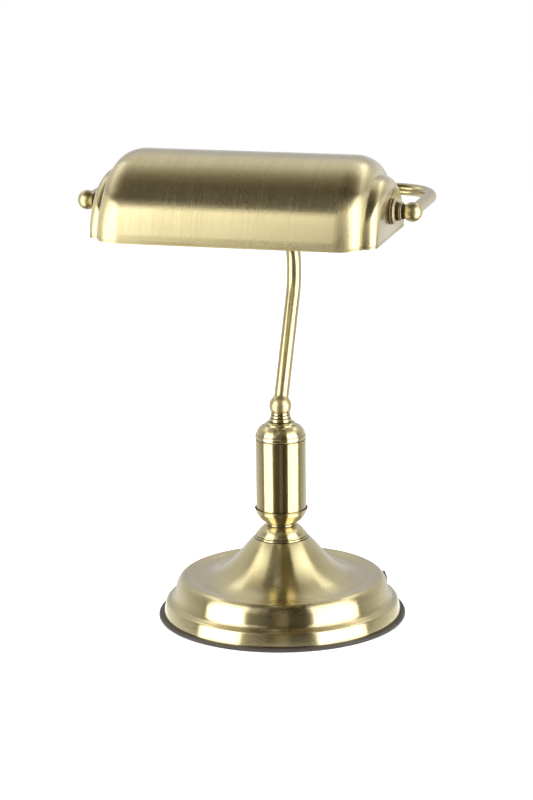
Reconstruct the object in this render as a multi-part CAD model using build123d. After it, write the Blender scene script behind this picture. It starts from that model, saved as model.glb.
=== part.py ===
from build123d import *
from math import atan2, cos, hypot, radians, sin, sqrt, tan
import os

# Banker's desk lamp in antique brass: a weighted round base, a turned column, a bent stem and a
# U-shaped bail that carries a stepped half-round shade on two friction pivots.
# Millimetres. Z is up and the origin is on the column's axis, at the face that the lamp stands on.
# X runs along the shade. The shade overhangs the front, which is -Y, and the stem leans to +Y.

# ---- clearances -------------------------------------------------------------------------------
THREAD_PLAY = 0.05          # radial play of a plain cylinder that stands for a thread
SLIP = 0.2                  # radial play of a piece that is dropped over or into another
PIVOT_PLAY = 0.06           # radial running play of the shade on its spindles

# ---- base -------------------------------------------------------------------------------------
BASE_RADIUS = 85.0          # over the rubber edge ring
RING_WALL = 3.3             # width of the ring outside the shell
RING_FLOOR = 1.6            # thickness of rubber under the shell
RING_LIP_TOP = 2.5          # height of the ring's outer lip
RING_WIDTH = 8.0            # whole width, most of it under the shell
RING_ROUND = 1.1            # rounding of the ring's outer corners
SHELL_WALL = 1.2
LIP_TIER_INSET = 5.1        # lower tier, just under its rounded top edge, from the base's radius
LIP_TIER_DROP = 1.7         # from the ledge down to that radius
LIP_TIER_FLARE = 0.25       # slope of the lower tier there, outward per millimetre down
LIP_TIER_PULL = 0.9         # fullness of the lower tier's rounded top edge
LEDGE_HEIGHT = 12.2         # small ledge between the two tiers
LEDGE_INSET = 7.7
LEDGE_FALL = 0.1            # slope of the ledge, down per millimetre outward
TIER_WALL_INSET = 11.1      # foot of the upper tier's wall
TIER_WALL_FOOT = 15.7
TIER_TOP_INSET = 12.2       # where the wall turns into the rounded shoulder
TIER_TOP_HEIGHT = 21.1
CREST_INSET = 18.1          # top of the shoulder
CREST_HEIGHT = 28.1
SHOULDER_PULL = (0.9, 1.3)  # fullness of the shoulder at the crest and at the wall
DISH_INSET = 27.0           # lowest ring of the dished top
DISH_HEIGHT = 27.2
NECK_RADIUS = 19.0          # top of the dish's sweep, under the collar
NECK_HEIGHT = 55.2
NECK_FLARE = 1.1            # slope of the sweep at the neck, outward per millimetre down
NECK_SLOPE = 15.0           # control length of the sweep at the neck
DISH_SLOPE = 20.0           # control length of the sweep at the dish
PLATE_THICKNESS = 1.8       # steel cover under the base
WEIGHT_INSET = 22.0
WEIGHT_THICKNESS = 13.0
WEIGHT_CHAMFER = 1.5
COUNTERBORE_RADIUS = 12.5   # pocket in the weight for the clamping nut
COUNTERBORE_DEPTH = 8.0
COVER_SCREWS = 3
COVER_SCREW_CIRCLE = 44.0   # radius of the screws' circle
COVER_SCREW_LENGTH = 8.0
SCREW_RADIUS = 1.5          # M3
SCREW_HEAD_RADIUS = 2.9
SCREW_HEAD_HEIGHT = 1.6
OUTLET_AZIMUTH = 30.0       # degrees from +X towards +Y
OUTLET_HEIGHT = 19.6
GROMMET_BORE = 2.6
GROMMET_BARREL = 3.1
GROMMET_FLANGE = 3.9
GROMMET_FLANGE_THICKNESS = 1.8
GROMMET_INNER_FLANGE = 1.4
GROMMET_ROUND = 0.7         # rounding of the outer flange's rim

# ---- clamping rod, column and neck ---------------------------------------------------------------
ROD_RADIUS = 5.0            # M10 x 1 hollow threaded rod
ROD_BORE = 3.5
ROD_TAIL = 1.0              # thread that shows past the clamping nut
CLAMP_NUT_ACROSS_FLATS = 14.0
CLAMP_NUT_HEIGHT = 3.0
CLAMP_WASHER_RADIUS = 11.0
CLAMP_WASHER_THICKNESS = 1.5
SLEEVE_RADIUS = 8.0         # spacer sleeve inside the base
COLLAR_LOWER_BEAD = 18.2
COLLAR_UPPER_BEAD = 17.5
COLLAR_BEAD_HEIGHT = 1.5
COLLAR_BEAD_ROUND = 0.75
COLLAR_DOME_RADIUS = 16.6
COLLAR_DOME_HEIGHT = 5.9
COLLAR_TOP_RADIUS = 10.1
COLLAR_BULGE = 0.9          # rise of the dome's arc over its chord
NECK_RING_RADIUS = 10.1
NECK_RING_HEIGHT = 1.6
NECK_RING_ROUND = 0.65
CUP_FOOT_RADIUS = 10.1
CUP_HEIGHT = 7.9            # from the foot to the crease under the lip
CUP_RADIUS = 17.45          # at the crease
CUP_BULGE = 1.0
CUP_FLOOR = 2.0             # thickness of the cup's floor at the rod
LIP_HEIGHT = 2.6
LIP_RADIUS = 18.3
LIP_EDGE = 0.35             # thickness of the lip's free edge
LIP_HOLLOW = 0.15           # hollow of the lip's outside
LIP_INNER_BULGE = 0.1
LIP_SEAT = 0.6              # height of the straight seat round the column's foot
COLUMN_RADIUS = 17.15
COLUMN_WALL = 1.0
COLUMN_LENGTH = 51.1
CAP_GROOVE = 0.5            # dark seam between the column and the cap's bead
CAP_BEAD_RADIUS = 17.45
CAP_BEAD_HEIGHT = 3.2
CAP_BEAD_ROUND = 0.6
CAP_DOME_HEIGHT = 6.5
CAP_TOP_RADIUS = 11.3
CAP_BULGE = 1.1
CAP_SPIGOT = 3.0            # length of the cap's spigot inside the column
CAP_RING_RADIUS = 10.9
CAP_RING_HEIGHT = 1.9
CAP_RING_TOP_RADIUS = 8.2
CAP_RING_BULGE = 0.6
STEM_NECK_FLANGE = 7.8
STEM_NECK_FLANGE_HEIGHT = 2.7
STEM_NECK_FLANGE_ROUND = 0.6
STEM_NECK_BEADS = (7.0, 6.55)
STEM_NECK_BEAD_HEIGHT = 2.25
STEM_NECK_BEAD_ROUND = 0.55
STEM_BALL_RADIUS = 7.65
STEM_BALL_FLAT = 3.9        # distance of the ball's flat underside from its centre

# ---- stem, bail and pivots -----------------------------------------------------------------------
STEM_RADIUS = 5.0
STEM_WALL = 1.0
STEM_LEAN = 27.6            # degrees back from upright, lower straight
STEM_RETURN = 35.3          # degrees forward from upright, upper straight
STEM_BEND_RADIUS = 40.0
STEM_GRIP = 2.6             # distance of the stem's foot from the ball's centre
KNUCKLE_RADIUS = 8.5
KNUCKLE_SEAT = 4.6          # distance of the stem's top from the bail's axis
BAIL_RADIUS = 4.0
BAIL_WALL = 1.0
BAIL_BEND_RADIUS = 28.6
CABLE_WAY_RADIUS = 2.0      # drilling between the stem and the bail's bar
BAIL_REACH = 80.4           # from the pivot axis back to the bail's cross bar
BAIL_Y = 3.4                # the cross bar stands this far behind the column's axis
PIVOT_HEIGHT = 299.3
PIVOT_BALL_RADIUS = 6.4
PIVOT_BALL_FLAT = 4.6
ARM_SEAT = 3.2              # distance of the bail's end from the pivot ball's centre
SPINDLE_RADIUS = 4.0
SPINDLE_BORE = 2.0
SPIGOT_RADIUS = 3.0
SPIGOT_GAP = 1.2            # from the spigot's end to the ball's centre
SPINDLE_TAIL = 1.5          # thread that shows past the inner nut
FRICTION_WASHER = (8.4, 2.1)    # radius, thickness
FRICTION_DISC = (8.4, 1.6)
FIBRE_WASHER = (6.2, 2.1)
SPACER_RING = (6.3, 1.7)
NECK_WASHER = (4.9, 1.8)
WASHER_ROUND = 0.2          # share of a washer's thickness that each rim is rounded by
INNER_WASHER = (8.0, 1.2)
PIVOT_NUT_ACROSS_FLATS = 13.0
PIVOT_NUT_HEIGHT = 4.0

# ---- shade ---------------------------------------------------------------------------------------
SHADE_HALF_LENGTH = 94.3    # to the flat end plates
END_TIER_LENGTH = 8.1       # from the step in the shade's outside to the end plate
SHADE_HALF_DEPTH = 57.4
SHADE_BELOW_PIVOT = 16.7
SHADE_ABOVE_PIVOT = 34.7
SHADE_WALL = 1.0
MAIN_ROUND_LENGTH = 16.9    # the main body's end is a quarter of an ellipse
MAIN_ROUND_DEPTH = 12.5
TIER_ROUND = 7.4
END_FLANGE = 4.0            # depth of the turned-in flange that carries the end plate

# ---- lampholder and lamp -------------------------------------------------------------------------
SOCKET_RISE = 6.0           # the lampholder's axis above the pivot axis
BRACKET_THICKNESS = 1.2
BRACKET_WIDTH = 12.0
BRACKET_DEPTH = 17.0        # from the end plate to the web
BRACKET_INNER_SPAN = 32.0
BRACKET_FOOT = 11.0
BRACKET_EAR_WIDTH = 24.0    # raised middle of the web, behind the lampholder
BRACKET_SCREW_Y = 22.0
BRACKET_SCREW_DROP = 5.0    # below the pivot axis
BRACKET_SCREW_LENGTH = 5.0
BRACKET_NUT_RADIUS = 2.9
BRACKET_NUT_HEIGHT = 2.2
NIPPLE_LENGTH = 12.0
NIPPLE_NUT_HEIGHT = 3.0
HOLDER_RADIUS = 19.0
HOLDER_CAP_LENGTH = 13.0
HOLDER_CAP_NECK = 9.0
HOLDER_CAP_BULGE = 2.5
HOLDER_WALL = 2.0
HOLDER_BODY_LENGTH = 27.0
HOLDER_INSERT_LENGTH = 8.0
HOLDER_SKIRT_RADIUS = 14.6  # bore of the E27 opening
CONTACT_RADIUS = 4.0
CONTACT_HEIGHT = 2.0
CONTACT_SHANK_RADIUS = 2.95
CONTACT_SHANK_LENGTH = 4.0
LAMP_CAP_RADIUS = 13.1      # E27
LAMP_CAP_LENGTH = 22.0
LAMP_TIP_RADIUS = 5.0
LAMP_TIP_HEIGHT = 3.0
LAMP_RADIUS = 22.5
LAMP_NECK_LENGTH = 27.0     # from the cap to the widest ring of the bulb
GLASS_WALL = 1.0

# ---- places that follow from the sizes -----------------------------------------------------------
RING_INNER_RADIUS = BASE_RADIUS - RING_WIDTH
SHELL_FOOT_RADIUS = BASE_RADIUS - RING_WALL
LIP_TIER_RADIUS = BASE_RADIUS - LIP_TIER_INSET
LEDGE_RADIUS = BASE_RADIUS - LEDGE_INSET
TIER_WALL_RADIUS = BASE_RADIUS - TIER_WALL_INSET
TIER_TOP_RADIUS = BASE_RADIUS - TIER_TOP_INSET
CREST_RADIUS = BASE_RADIUS - CREST_INSET
DISH_RADIUS = BASE_RADIUS - DISH_INSET
WEIGHT_RADIUS = BASE_RADIUS - WEIGHT_INSET
PLATE_RADIUS = SHELL_FOOT_RADIUS - SHELL_WALL - SLIP
WEIGHT_BOTTOM = RING_FLOOR + PLATE_THICKNESS
WEIGHT_TOP = WEIGHT_BOTTOM + WEIGHT_THICKNESS
CLAMP_SEAT = WEIGHT_BOTTOM + COUNTERBORE_DEPTH
ROD_BOTTOM = CLAMP_SEAT - CLAMP_WASHER_THICKNESS - CLAMP_NUT_HEIGHT - ROD_TAIL
ROD_HOLE = ROD_RADIUS + SLIP
ROD_THREAD = ROD_RADIUS + THREAD_PLAY

COLLAR_TOP = NECK_HEIGHT + 2 * COLLAR_BEAD_HEIGHT + COLLAR_DOME_HEIGHT
NECK_RING_TOP = COLLAR_TOP + NECK_RING_HEIGHT
CUP_CREASE = NECK_RING_TOP + CUP_HEIGHT
COLUMN_TOP = CUP_CREASE + COLUMN_LENGTH
CAP_TOP = COLUMN_TOP + CAP_GROOVE + CAP_BEAD_HEIGHT + CAP_DOME_HEIGHT
CAP_RING_TOP = CAP_TOP + CAP_RING_HEIGHT
STEM_NECK_TOP = CAP_RING_TOP + STEM_NECK_FLANGE_HEIGHT + STEM_NECK_BEAD_HEIGHT * len(STEM_NECK_BEADS)
STEM_BALL_CENTRE = STEM_NECK_TOP + STEM_BALL_FLAT
ROD_TOP = STEM_BALL_CENTRE - 0.5 * STEM_BALL_FLAT

PIVOT_Y = BAIL_Y - BAIL_REACH
PIVOT_STACK = (FRICTION_WASHER, FRICTION_DISC, FIBRE_WASHER, SPACER_RING, NECK_WASHER)
PIVOT_FLAT_X = SHADE_HALF_LENGTH + sum(thickness for _, thickness in PIVOT_STACK)
PIVOT_BALL_X = PIVOT_FLAT_X + PIVOT_BALL_FLAT
PLATE_INNER_X = SHADE_HALF_LENGTH - SHADE_WALL
SPINDLE_TIP_X = PLATE_INNER_X - INNER_WASHER[1] - PIVOT_NUT_HEIGHT - SPINDLE_TAIL

SHADE_STEP_X = SHADE_HALF_LENGTH - END_TIER_LENGTH
SHADE_BOTTOM = PIVOT_HEIGHT - SHADE_BELOW_PIVOT
SHADE_HEIGHT = SHADE_BELOW_PIVOT + SHADE_ABOVE_PIVOT
SOCKET_Z = PIVOT_HEIGHT + SOCKET_RISE
LAMP_START = HOLDER_CAP_LENGTH + HOLDER_INSERT_LENGTH + CONTACT_HEIGHT


# ---- helpers -------------------------------------------------------------------------------------
def turned(edges):
    """Solid of revolution about Z of a closed outline drawn as (radius, height)."""
    return revolve(Plane.XZ * make_face(edges), Axis.Z)


def turned_polygon(points):
    """Solid of revolution about Z of a polygon of (radius, height) points."""
    return turned(Polyline(*points, close=True))


def rod(radius, length):
    """Plain cylinder that stands on the XY plane."""
    return Cylinder(radius, length, align=(Align.CENTER, Align.CENTER, Align.MIN))


def disc(radius, bottom, top):
    """Plain disc about Z."""
    return Pos(0, 0, bottom) * rod(radius, top - bottom)


def sleeve(outer, inner, bottom, top):
    """Plain ring about Z."""
    return disc(outer, bottom, top) - disc(inner, bottom, top)


def bulged(start, end, rise):
    """Arc from start to end that rises over its chord, to the right of the way it runs."""
    chord = Vector(*end) - Vector(*start)
    middle = (Vector(*start) + Vector(*end)) * 0.5
    side = Vector(chord.Y, -chord.X, 0).normalized()
    return ThreePointArc(start, tuple(middle + side * rise)[:2], end)


def bead(radius, depth, bottom, top):
    """Half-round edge from (radius - depth, bottom) out to radius and back at top."""
    foot = radius - depth
    return ThreePointArc((foot, bottom), (radius, 0.5 * (bottom + top)), (foot, top))


def nut(across_flats, height, bore):
    """Hexagon nut standing on the XY plane."""
    hexagon = RegularPolygon(across_flats / 2, 6, major_radius=False)
    return extrude(hexagon - Circle(bore), height)


def swept_tube(path, outer, inner):
    """Round tube along a path of lines and tangent arcs."""
    start = Plane(origin=path @ 0, z_dir=path % 0)
    return sweep(start * Circle(outer), path) - sweep(start * Circle(inner), path)


def along_x(x, y=0.0, z=0.0):
    """Location that turns a piece's +Z to +X and puts its origin at (x, y, z)."""
    return Location(Plane(origin=(x, y, z), x_dir=(0, 1, 0), z_dir=(1, 0, 0)))


# ---- base ----------------------------------------------------------------------------------------
def base_skin(inset):
    """The shell's skin from the neck down to the foot, set in from the outside by a distance."""
    wall_way = (TIER_WALL_RADIUS - TIER_TOP_RADIUS, TIER_WALL_FOOT - TIER_TOP_HEIGHT)
    stations = (
        ((NECK_RADIUS, NECK_HEIGHT), (NECK_FLARE, -1)),
        ((DISH_RADIUS, DISH_HEIGHT), (1, 0)),
        ((CREST_RADIUS, CREST_HEIGHT), (1, 0)),
        ((TIER_TOP_RADIUS, TIER_TOP_HEIGHT), wall_way),
        ((TIER_WALL_RADIUS, TIER_WALL_FOOT), wall_way),
        ((LEDGE_RADIUS, LEDGE_HEIGHT), (1, -LEDGE_FALL)),
        ((LIP_TIER_RADIUS, LEDGE_HEIGHT - LIP_TIER_DROP), (LIP_TIER_FLARE, -1)),
        ((SHELL_FOOT_RADIUS, RING_FLOOR), (0, -1)))
    points, ways = [], []
    for (radius, height), way in stations:
        size = hypot(*way)
        way = (way[0] / size, way[1] / size)
        points.append((radius + inset * way[1], height - inset * way[0]))
        ways.append(way)
    neck, dish, crest, wall_top, wall_foot, ledge, lip, foot = points
    neck_pull = (neck[0] + NECK_SLOPE * ways[0][0], neck[1] + NECK_SLOPE * ways[0][1])
    dish_pull = (dish[0] - DISH_SLOPE, dish[1])
    return [
        Bezier(neck, neck_pull, dish_pull, dish),
        Spline(dish, crest, tangents=(ways[1], ways[2])),
        Spline(crest, wall_top, tangents=(ways[2], ways[3]), tangent_scalars=SHOULDER_PULL),
        Line(wall_top, wall_foot),
        Spline(wall_foot, ledge, tangents=(ways[4], ways[5])),
        Spline(ledge, lip, tangents=(ways[5], ways[6]), tangent_scalars=(LIP_TIER_PULL, LIP_TIER_PULL)),
        Spline(lip, foot, tangents=(ways[6], ways[7]))]


def outlet_place(standoff):
    """Plane at the cable outlet, square to the upper tier's leaning wall, a distance outside it."""
    run, fall = TIER_WALL_RADIUS - TIER_TOP_RADIUS, TIER_TOP_HEIGHT - TIER_WALL_FOOT
    wall_radius = TIER_TOP_RADIUS + run * (TIER_TOP_HEIGHT - OUTLET_HEIGHT) / fall
    tilt = atan2(run, fall)
    azimuth = radians(OUTLET_AZIMUTH)
    outward = Vector(cos(azimuth), sin(azimuth), 0)
    normal = outward * cos(tilt) + Vector(0, 0, sin(tilt))
    origin = outward * wall_radius + Vector(0, 0, OUTLET_HEIGHT) + normal * standoff
    return Plane(origin=origin, x_dir=(-outward.Y, outward.X, 0), z_dir=normal)


def make_base_shell():
    outside, inside = base_skin(0), base_skin(SHELL_WALL)
    rims = [Line(outside[-1] @ 1, inside[-1] @ 1), Line(inside[0] @ 0, outside[0] @ 0)]
    shell = turned(outside + inside + rims)
    crown = sleeve(NECK_RADIUS - 0.5 * SHELL_WALL, ROD_HOLE, NECK_HEIGHT - SHELL_WALL, NECK_HEIGHT)
    hole = extrude(outlet_place(0) * Circle(GROMMET_BARREL + SLIP / 2), 3 * SHELL_WALL, both=True)
    return shell + crown - hole


def make_edge_ring():
    groove = SHELL_FOOT_RADIUS + SLIP / 4
    outline = Plane.XZ * make_face(Polyline(
        (RING_INNER_RADIUS, 0), (BASE_RADIUS, 0), (BASE_RADIUS, RING_LIP_TOP),
        (groove, RING_LIP_TOP), (groove, RING_FLOOR), (RING_INNER_RADIUS, RING_FLOOR), close=True))
    outer_corners = outline.vertices().group_by(Axis.X)[-1]
    return revolve(fillet(outer_corners, RING_ROUND), Axis.Z)


def screw_spots():
    """Places of the cover's screws."""
    return [Pos(*spot.position) for spot in PolarLocations(COVER_SCREW_CIRCLE, COVER_SCREWS)]


def screw_blank(play, length):
    """Countersunk screw, or its hole with some play, head down on the cover's underside."""
    head = SCREW_HEAD_RADIUS + play
    shank = SCREW_RADIUS + play
    return turned_polygon([(0, RING_FLOOR), (head, RING_FLOOR), (shank, RING_FLOOR + SCREW_HEAD_HEIGHT),
                           (shank, RING_FLOOR + length), (0, RING_FLOOR + length)])


def make_weight():
    weight = disc(WEIGHT_RADIUS, WEIGHT_BOTTOM, WEIGHT_TOP)
    weight = chamfer(weight.edges().group_by(Axis.Z)[-1], WEIGHT_CHAMFER)
    weight -= disc(COUNTERBORE_RADIUS, WEIGHT_BOTTOM, CLAMP_SEAT)
    weight -= disc(ROD_HOLE, WEIGHT_BOTTOM, WEIGHT_TOP)
    screw_end = WEIGHT_BOTTOM + COVER_SCREW_LENGTH + SLIP
    tapped = disc(SCREW_RADIUS + THREAD_PLAY, WEIGHT_BOTTOM, screw_end)
    for spot in screw_spots():
        weight -= spot * tapped
    return weight


def make_cover_plate():
    plate = sleeve(PLATE_RADIUS, COUNTERBORE_RADIUS, RING_FLOOR, WEIGHT_BOTTOM)
    for spot in screw_spots():
        plate -= spot * screw_blank(SLIP / 2, PLATE_THICKNESS)
    return plate


def make_cover_screws():
    screw = screw_blank(0, PLATE_THICKNESS + COVER_SCREW_LENGTH)
    return Compound(children=[spot * screw for spot in screw_spots()])


def make_clamp_washer():
    return sleeve(CLAMP_WASHER_RADIUS, ROD_HOLE, CLAMP_SEAT - CLAMP_WASHER_THICKNESS, CLAMP_SEAT)


def make_clamp_nut():
    bottom = CLAMP_SEAT - CLAMP_WASHER_THICKNESS - CLAMP_NUT_HEIGHT
    return Pos(0, 0, bottom) * nut(CLAMP_NUT_ACROSS_FLATS, CLAMP_NUT_HEIGHT, ROD_THREAD)


def make_felt_pad():
    return disc(RING_INNER_RADIUS - SLIP, 0, RING_FLOOR)


def make_grommet():
    """Snap-in bush: an outer flange, a barrel through the shell and an inner flange."""
    grip = SHELL_WALL + 2 * SLIP
    flange = Circle(GROMMET_FLANGE) - Circle(GROMMET_BORE)
    outer = extrude(outlet_place(0) * flange, GROMMET_FLANGE_THICKNESS)
    rims = outer.edges().filter_by(GeomType.CIRCLE).sort_by(SortBy.RADIUS)[-2:]
    outer = fillet(rims.sort_by(lambda edge: edge.arc_center.length)[-1], GROMMET_ROUND)
    barrel = extrude(outlet_place(-grip) * (Circle(GROMMET_BARREL) - Circle(GROMMET_BORE)), grip)
    inner = extrude(outlet_place(-grip) * flange, -GROMMET_INNER_FLANGE)
    return outer + barrel + inner


# ---- column --------------------------------------------------------------------------------------
def make_collar():
    bottom = NECK_HEIGHT
    middle = bottom + COLLAR_BEAD_HEIGHT
    top = middle + COLLAR_BEAD_HEIGHT
    lower = COLLAR_LOWER_BEAD - COLLAR_BEAD_ROUND
    upper = COLLAR_UPPER_BEAD - COLLAR_BEAD_ROUND
    return turned([
        Line((ROD_HOLE, bottom), (lower, bottom)),
        bead(COLLAR_LOWER_BEAD, COLLAR_BEAD_ROUND, bottom, middle),
        Line((lower, middle), (upper, middle)),
        bead(COLLAR_UPPER_BEAD, COLLAR_BEAD_ROUND, middle, top),
        Line((upper, top), (COLLAR_DOME_RADIUS, top)),
        bulged((COLLAR_DOME_RADIUS, top), (COLLAR_TOP_RADIUS, COLLAR_TOP), COLLAR_BULGE),
        Line((COLLAR_TOP_RADIUS, COLLAR_TOP), (ROD_HOLE, COLLAR_TOP)),
        Line((ROD_HOLE, COLLAR_TOP), (ROD_HOLE, bottom))])


def make_neck_ring():
    foot = NECK_RING_RADIUS - NECK_RING_ROUND
    return turned([
        Line((ROD_HOLE, COLLAR_TOP), (foot, COLLAR_TOP)),
        bead(NECK_RING_RADIUS, NECK_RING_ROUND, COLLAR_TOP, NECK_RING_TOP),
        Line((foot, NECK_RING_TOP), (ROD_HOLE, NECK_RING_TOP)),
        Line((ROD_HOLE, NECK_RING_TOP), (ROD_HOLE, COLLAR_TOP))])


def make_cup():
    lip_top = CUP_CREASE + LIP_HEIGHT
    foot = (CUP_FOOT_RADIUS, NECK_RING_TOP)
    crease = (CUP_RADIUS, CUP_CREASE)
    tip = (LIP_RADIUS, lip_top)
    inner_tip = (LIP_RADIUS - LIP_EDGE, lip_top)
    seat_top = (COLUMN_RADIUS + SLIP / 2, CUP_CREASE + LIP_SEAT)
    seat_foot = (COLUMN_RADIUS + SLIP / 2, CUP_CREASE)
    hollow = (COLUMN_RADIUS - COLUMN_WALL - SLIP, CUP_CREASE)
    floor = (ROD_HOLE, NECK_RING_TOP + CUP_FLOOR)
    return turned([
        Line((ROD_HOLE, NECK_RING_TOP), foot),
        bulged(foot, crease, CUP_BULGE),
        bulged(crease, tip, -LIP_HOLLOW),
        Line(tip, inner_tip),
        bulged(inner_tip, seat_top, LIP_INNER_BULGE),
        Polyline(seat_top, seat_foot, hollow, floor, (ROD_HOLE, NECK_RING_TOP))])


def make_cap():
    bottom = COLUMN_TOP
    bead_bottom = bottom + CAP_GROOVE
    bead_top = bead_bottom + CAP_BEAD_HEIGHT
    foot = bottom - CAP_SPIGOT
    shoulder = CAP_BEAD_RADIUS - CAP_BEAD_ROUND
    groove = COLUMN_RADIUS - CAP_GROOVE
    spigot = COLUMN_RADIUS - COLUMN_WALL - SLIP / 2
    return turned([
        Polyline((ROD_HOLE, foot), (spigot, foot), (spigot, bottom), (groove, bottom),
                 (groove, bead_bottom), (shoulder, bead_bottom)),
        bead(CAP_BEAD_RADIUS, CAP_BEAD_ROUND, bead_bottom, bead_top),
        bulged((shoulder, bead_top), (CAP_TOP_RADIUS, CAP_TOP), CAP_BULGE),
        Line((CAP_TOP_RADIUS, CAP_TOP), (ROD_HOLE, CAP_TOP)),
        Line((ROD_HOLE, CAP_TOP), (ROD_HOLE, foot))])


def make_cap_ring():
    foot = (CAP_RING_RADIUS, CAP_TOP)
    top = (CAP_RING_TOP_RADIUS, CAP_RING_TOP)
    return turned([
        Line((ROD_HOLE, CAP_TOP), foot),
        bulged(foot, top, CAP_RING_BULGE),
        Line(top, (ROD_HOLE, CAP_RING_TOP)),
        Line((ROD_HOLE, CAP_RING_TOP), (ROD_HOLE, CAP_TOP))])


def make_stem_neck():
    """Stacked rings under the stem's ball, each a bead with its own rounding."""
    rings = [(STEM_NECK_FLANGE, STEM_NECK_FLANGE_HEIGHT, STEM_NECK_FLANGE_ROUND)]
    rings += [(radius, STEM_NECK_BEAD_HEIGHT, STEM_NECK_BEAD_ROUND) for radius in STEM_NECK_BEADS]
    reach, level = ROD_THREAD, CAP_RING_TOP
    edges = []
    for radius, height, soft in rings:
        edges.append(Line((reach, level), (radius - soft, level)))
        edges.append(bead(radius, soft, level, level + height))
        reach = radius - soft
        level += height
    edges.append(Polyline((reach, level), (ROD_THREAD, level), (ROD_THREAD, CAP_RING_TOP)))
    return turned(edges)


# ---- stem and bail -------------------------------------------------------------------------------
def leaning(angle):
    """Unit vector in the YZ plane, tipped back from upright by an angle in degrees."""
    return Vector(0, sin(radians(angle)), cos(radians(angle)))


def stem_corner():
    """Where the stem's two straights would meet."""
    back, forth = tan(radians(STEM_LEAN)), tan(radians(STEM_RETURN))
    height = (BAIL_Y + forth * PIVOT_HEIGHT + back * STEM_BALL_CENTRE) / (back + forth)
    return Vector(0, back * (height - STEM_BALL_CENTRE), height)


def stem_path():
    foot = Vector(0, 0, STEM_BALL_CENTRE) + leaning(STEM_LEAN) * STEM_GRIP
    head = Vector(0, BAIL_Y, PIVOT_HEIGHT) + leaning(180 - STEM_RETURN) * KNUCKLE_SEAT
    return FilletPolyline(foot, stem_corner(), head, radius=STEM_BEND_RADIUS)


def make_stem():
    return swept_tube(stem_path(), STEM_RADIUS, STEM_RADIUS - STEM_WALL)


def make_stem_ball():
    centre = Vector(0, 0, STEM_BALL_CENTRE)
    ball = Pos(centre) * Sphere(STEM_BALL_RADIUS)
    ball &= disc(2 * STEM_BALL_RADIUS, STEM_NECK_TOP, STEM_NECK_TOP + 2 * STEM_BALL_RADIUS)
    ball -= disc(ROD_THREAD, STEM_NECK_TOP, ROD_TOP)
    socket = Plane(origin=centre + leaning(STEM_LEAN) * STEM_GRIP, z_dir=leaning(STEM_LEAN))
    ball -= extrude(socket * Circle(STEM_RADIUS + THREAD_PLAY), STEM_BALL_RADIUS)
    ball -= Pos(centre) * Sphere(ROD_BORE)
    ball -= disc(ROD_BORE, STEM_NECK_TOP, STEM_BALL_CENTRE)
    bore = Plane(origin=centre, z_dir=leaning(STEM_LEAN)) * Circle(ROD_BORE)
    return ball - extrude(bore, STEM_BALL_RADIUS)


def bail_path():
    arm_end = PIVOT_Y + ARM_SEAT
    return FilletPolyline((-PIVOT_BALL_X, arm_end, PIVOT_HEIGHT), (-PIVOT_BALL_X, BAIL_Y, PIVOT_HEIGHT),
                          (PIVOT_BALL_X, BAIL_Y, PIVOT_HEIGHT), (PIVOT_BALL_X, arm_end, PIVOT_HEIGHT),
                          radius=BAIL_BEND_RADIUS)


def cable_way():
    """Drilling from the stem's top into the bail's cross bar."""
    down = leaning(180 - STEM_RETURN)
    start = Plane(origin=Vector(0, BAIL_Y, PIVOT_HEIGHT), z_dir=down)
    return extrude(start * Circle(CABLE_WAY_RADIUS), KNUCKLE_RADIUS)


def make_bail():
    return swept_tube(bail_path(), BAIL_RADIUS, BAIL_RADIUS - BAIL_WALL) - cable_way()


def make_knuckle():
    centre = Vector(0, BAIL_Y, PIVOT_HEIGHT)
    down = leaning(180 - STEM_RETURN)
    ball = Pos(centre) * Sphere(KNUCKLE_RADIUS)
    bar_start = along_x(-KNUCKLE_RADIUS, BAIL_Y, PIVOT_HEIGHT)
    bar = bar_start * rod(BAIL_RADIUS + THREAD_PLAY, 2 * KNUCKLE_RADIUS)
    seat = Plane(origin=centre + down * KNUCKLE_SEAT, z_dir=down)
    socket = extrude(seat * Circle(STEM_RADIUS + THREAD_PLAY), KNUCKLE_RADIUS)
    return ball - bar - socket - cable_way()


# ---- pivots: drawn for the right-hand end, with +X outward -----------------------------------------
def pivot_ring(radius, thickness, start):
    ring = extrude(Circle(radius) - Circle(SPINDLE_RADIUS + THREAD_PLAY), thickness)
    return along_x(start, PIVOT_Y, PIVOT_HEIGHT) * ring


def make_pivot_ball():
    place = along_x(PIVOT_BALL_X, PIVOT_Y, PIVOT_HEIGHT)
    flat = along_x(PIVOT_FLAT_X, PIVOT_Y, PIVOT_HEIGHT)
    ball = place * Sphere(PIVOT_BALL_RADIUS)
    ball &= flat * rod(2 * PIVOT_BALL_RADIUS, 2 * PIVOT_BALL_RADIUS)
    ball -= flat * rod(SPIGOT_RADIUS + THREAD_PLAY, PIVOT_BALL_FLAT - SPIGOT_GAP)
    rear = Plane(origin=(PIVOT_BALL_X, PIVOT_Y + ARM_SEAT, PIVOT_HEIGHT), z_dir=(0, 1, 0))
    ball -= extrude(rear * Circle(BAIL_RADIUS + THREAD_PLAY), PIVOT_BALL_RADIUS)
    centre = Plane(origin=(PIVOT_BALL_X, PIVOT_Y, PIVOT_HEIGHT), z_dir=(0, 1, 0))
    ball -= extrude(centre * Circle(SPINDLE_BORE), ARM_SEAT)
    ball -= place * Sphere(SPINDLE_BORE)
    return ball - flat * rod(SPINDLE_BORE, PIVOT_BALL_FLAT)


def make_spindle():
    """Hollow spindle with a thinner spigot that is screwed into the pivot ball."""
    body = extrude(Circle(SPINDLE_RADIUS), PIVOT_FLAT_X - SPINDLE_TIP_X)
    length = PIVOT_BALL_X - SPIGOT_GAP - SPINDLE_TIP_X
    spindle = body + extrude(Circle(SPIGOT_RADIUS), length) - extrude(Circle(SPINDLE_BORE), length)
    return along_x(SPINDLE_TIP_X, PIVOT_Y, PIVOT_HEIGHT) * spindle


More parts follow.
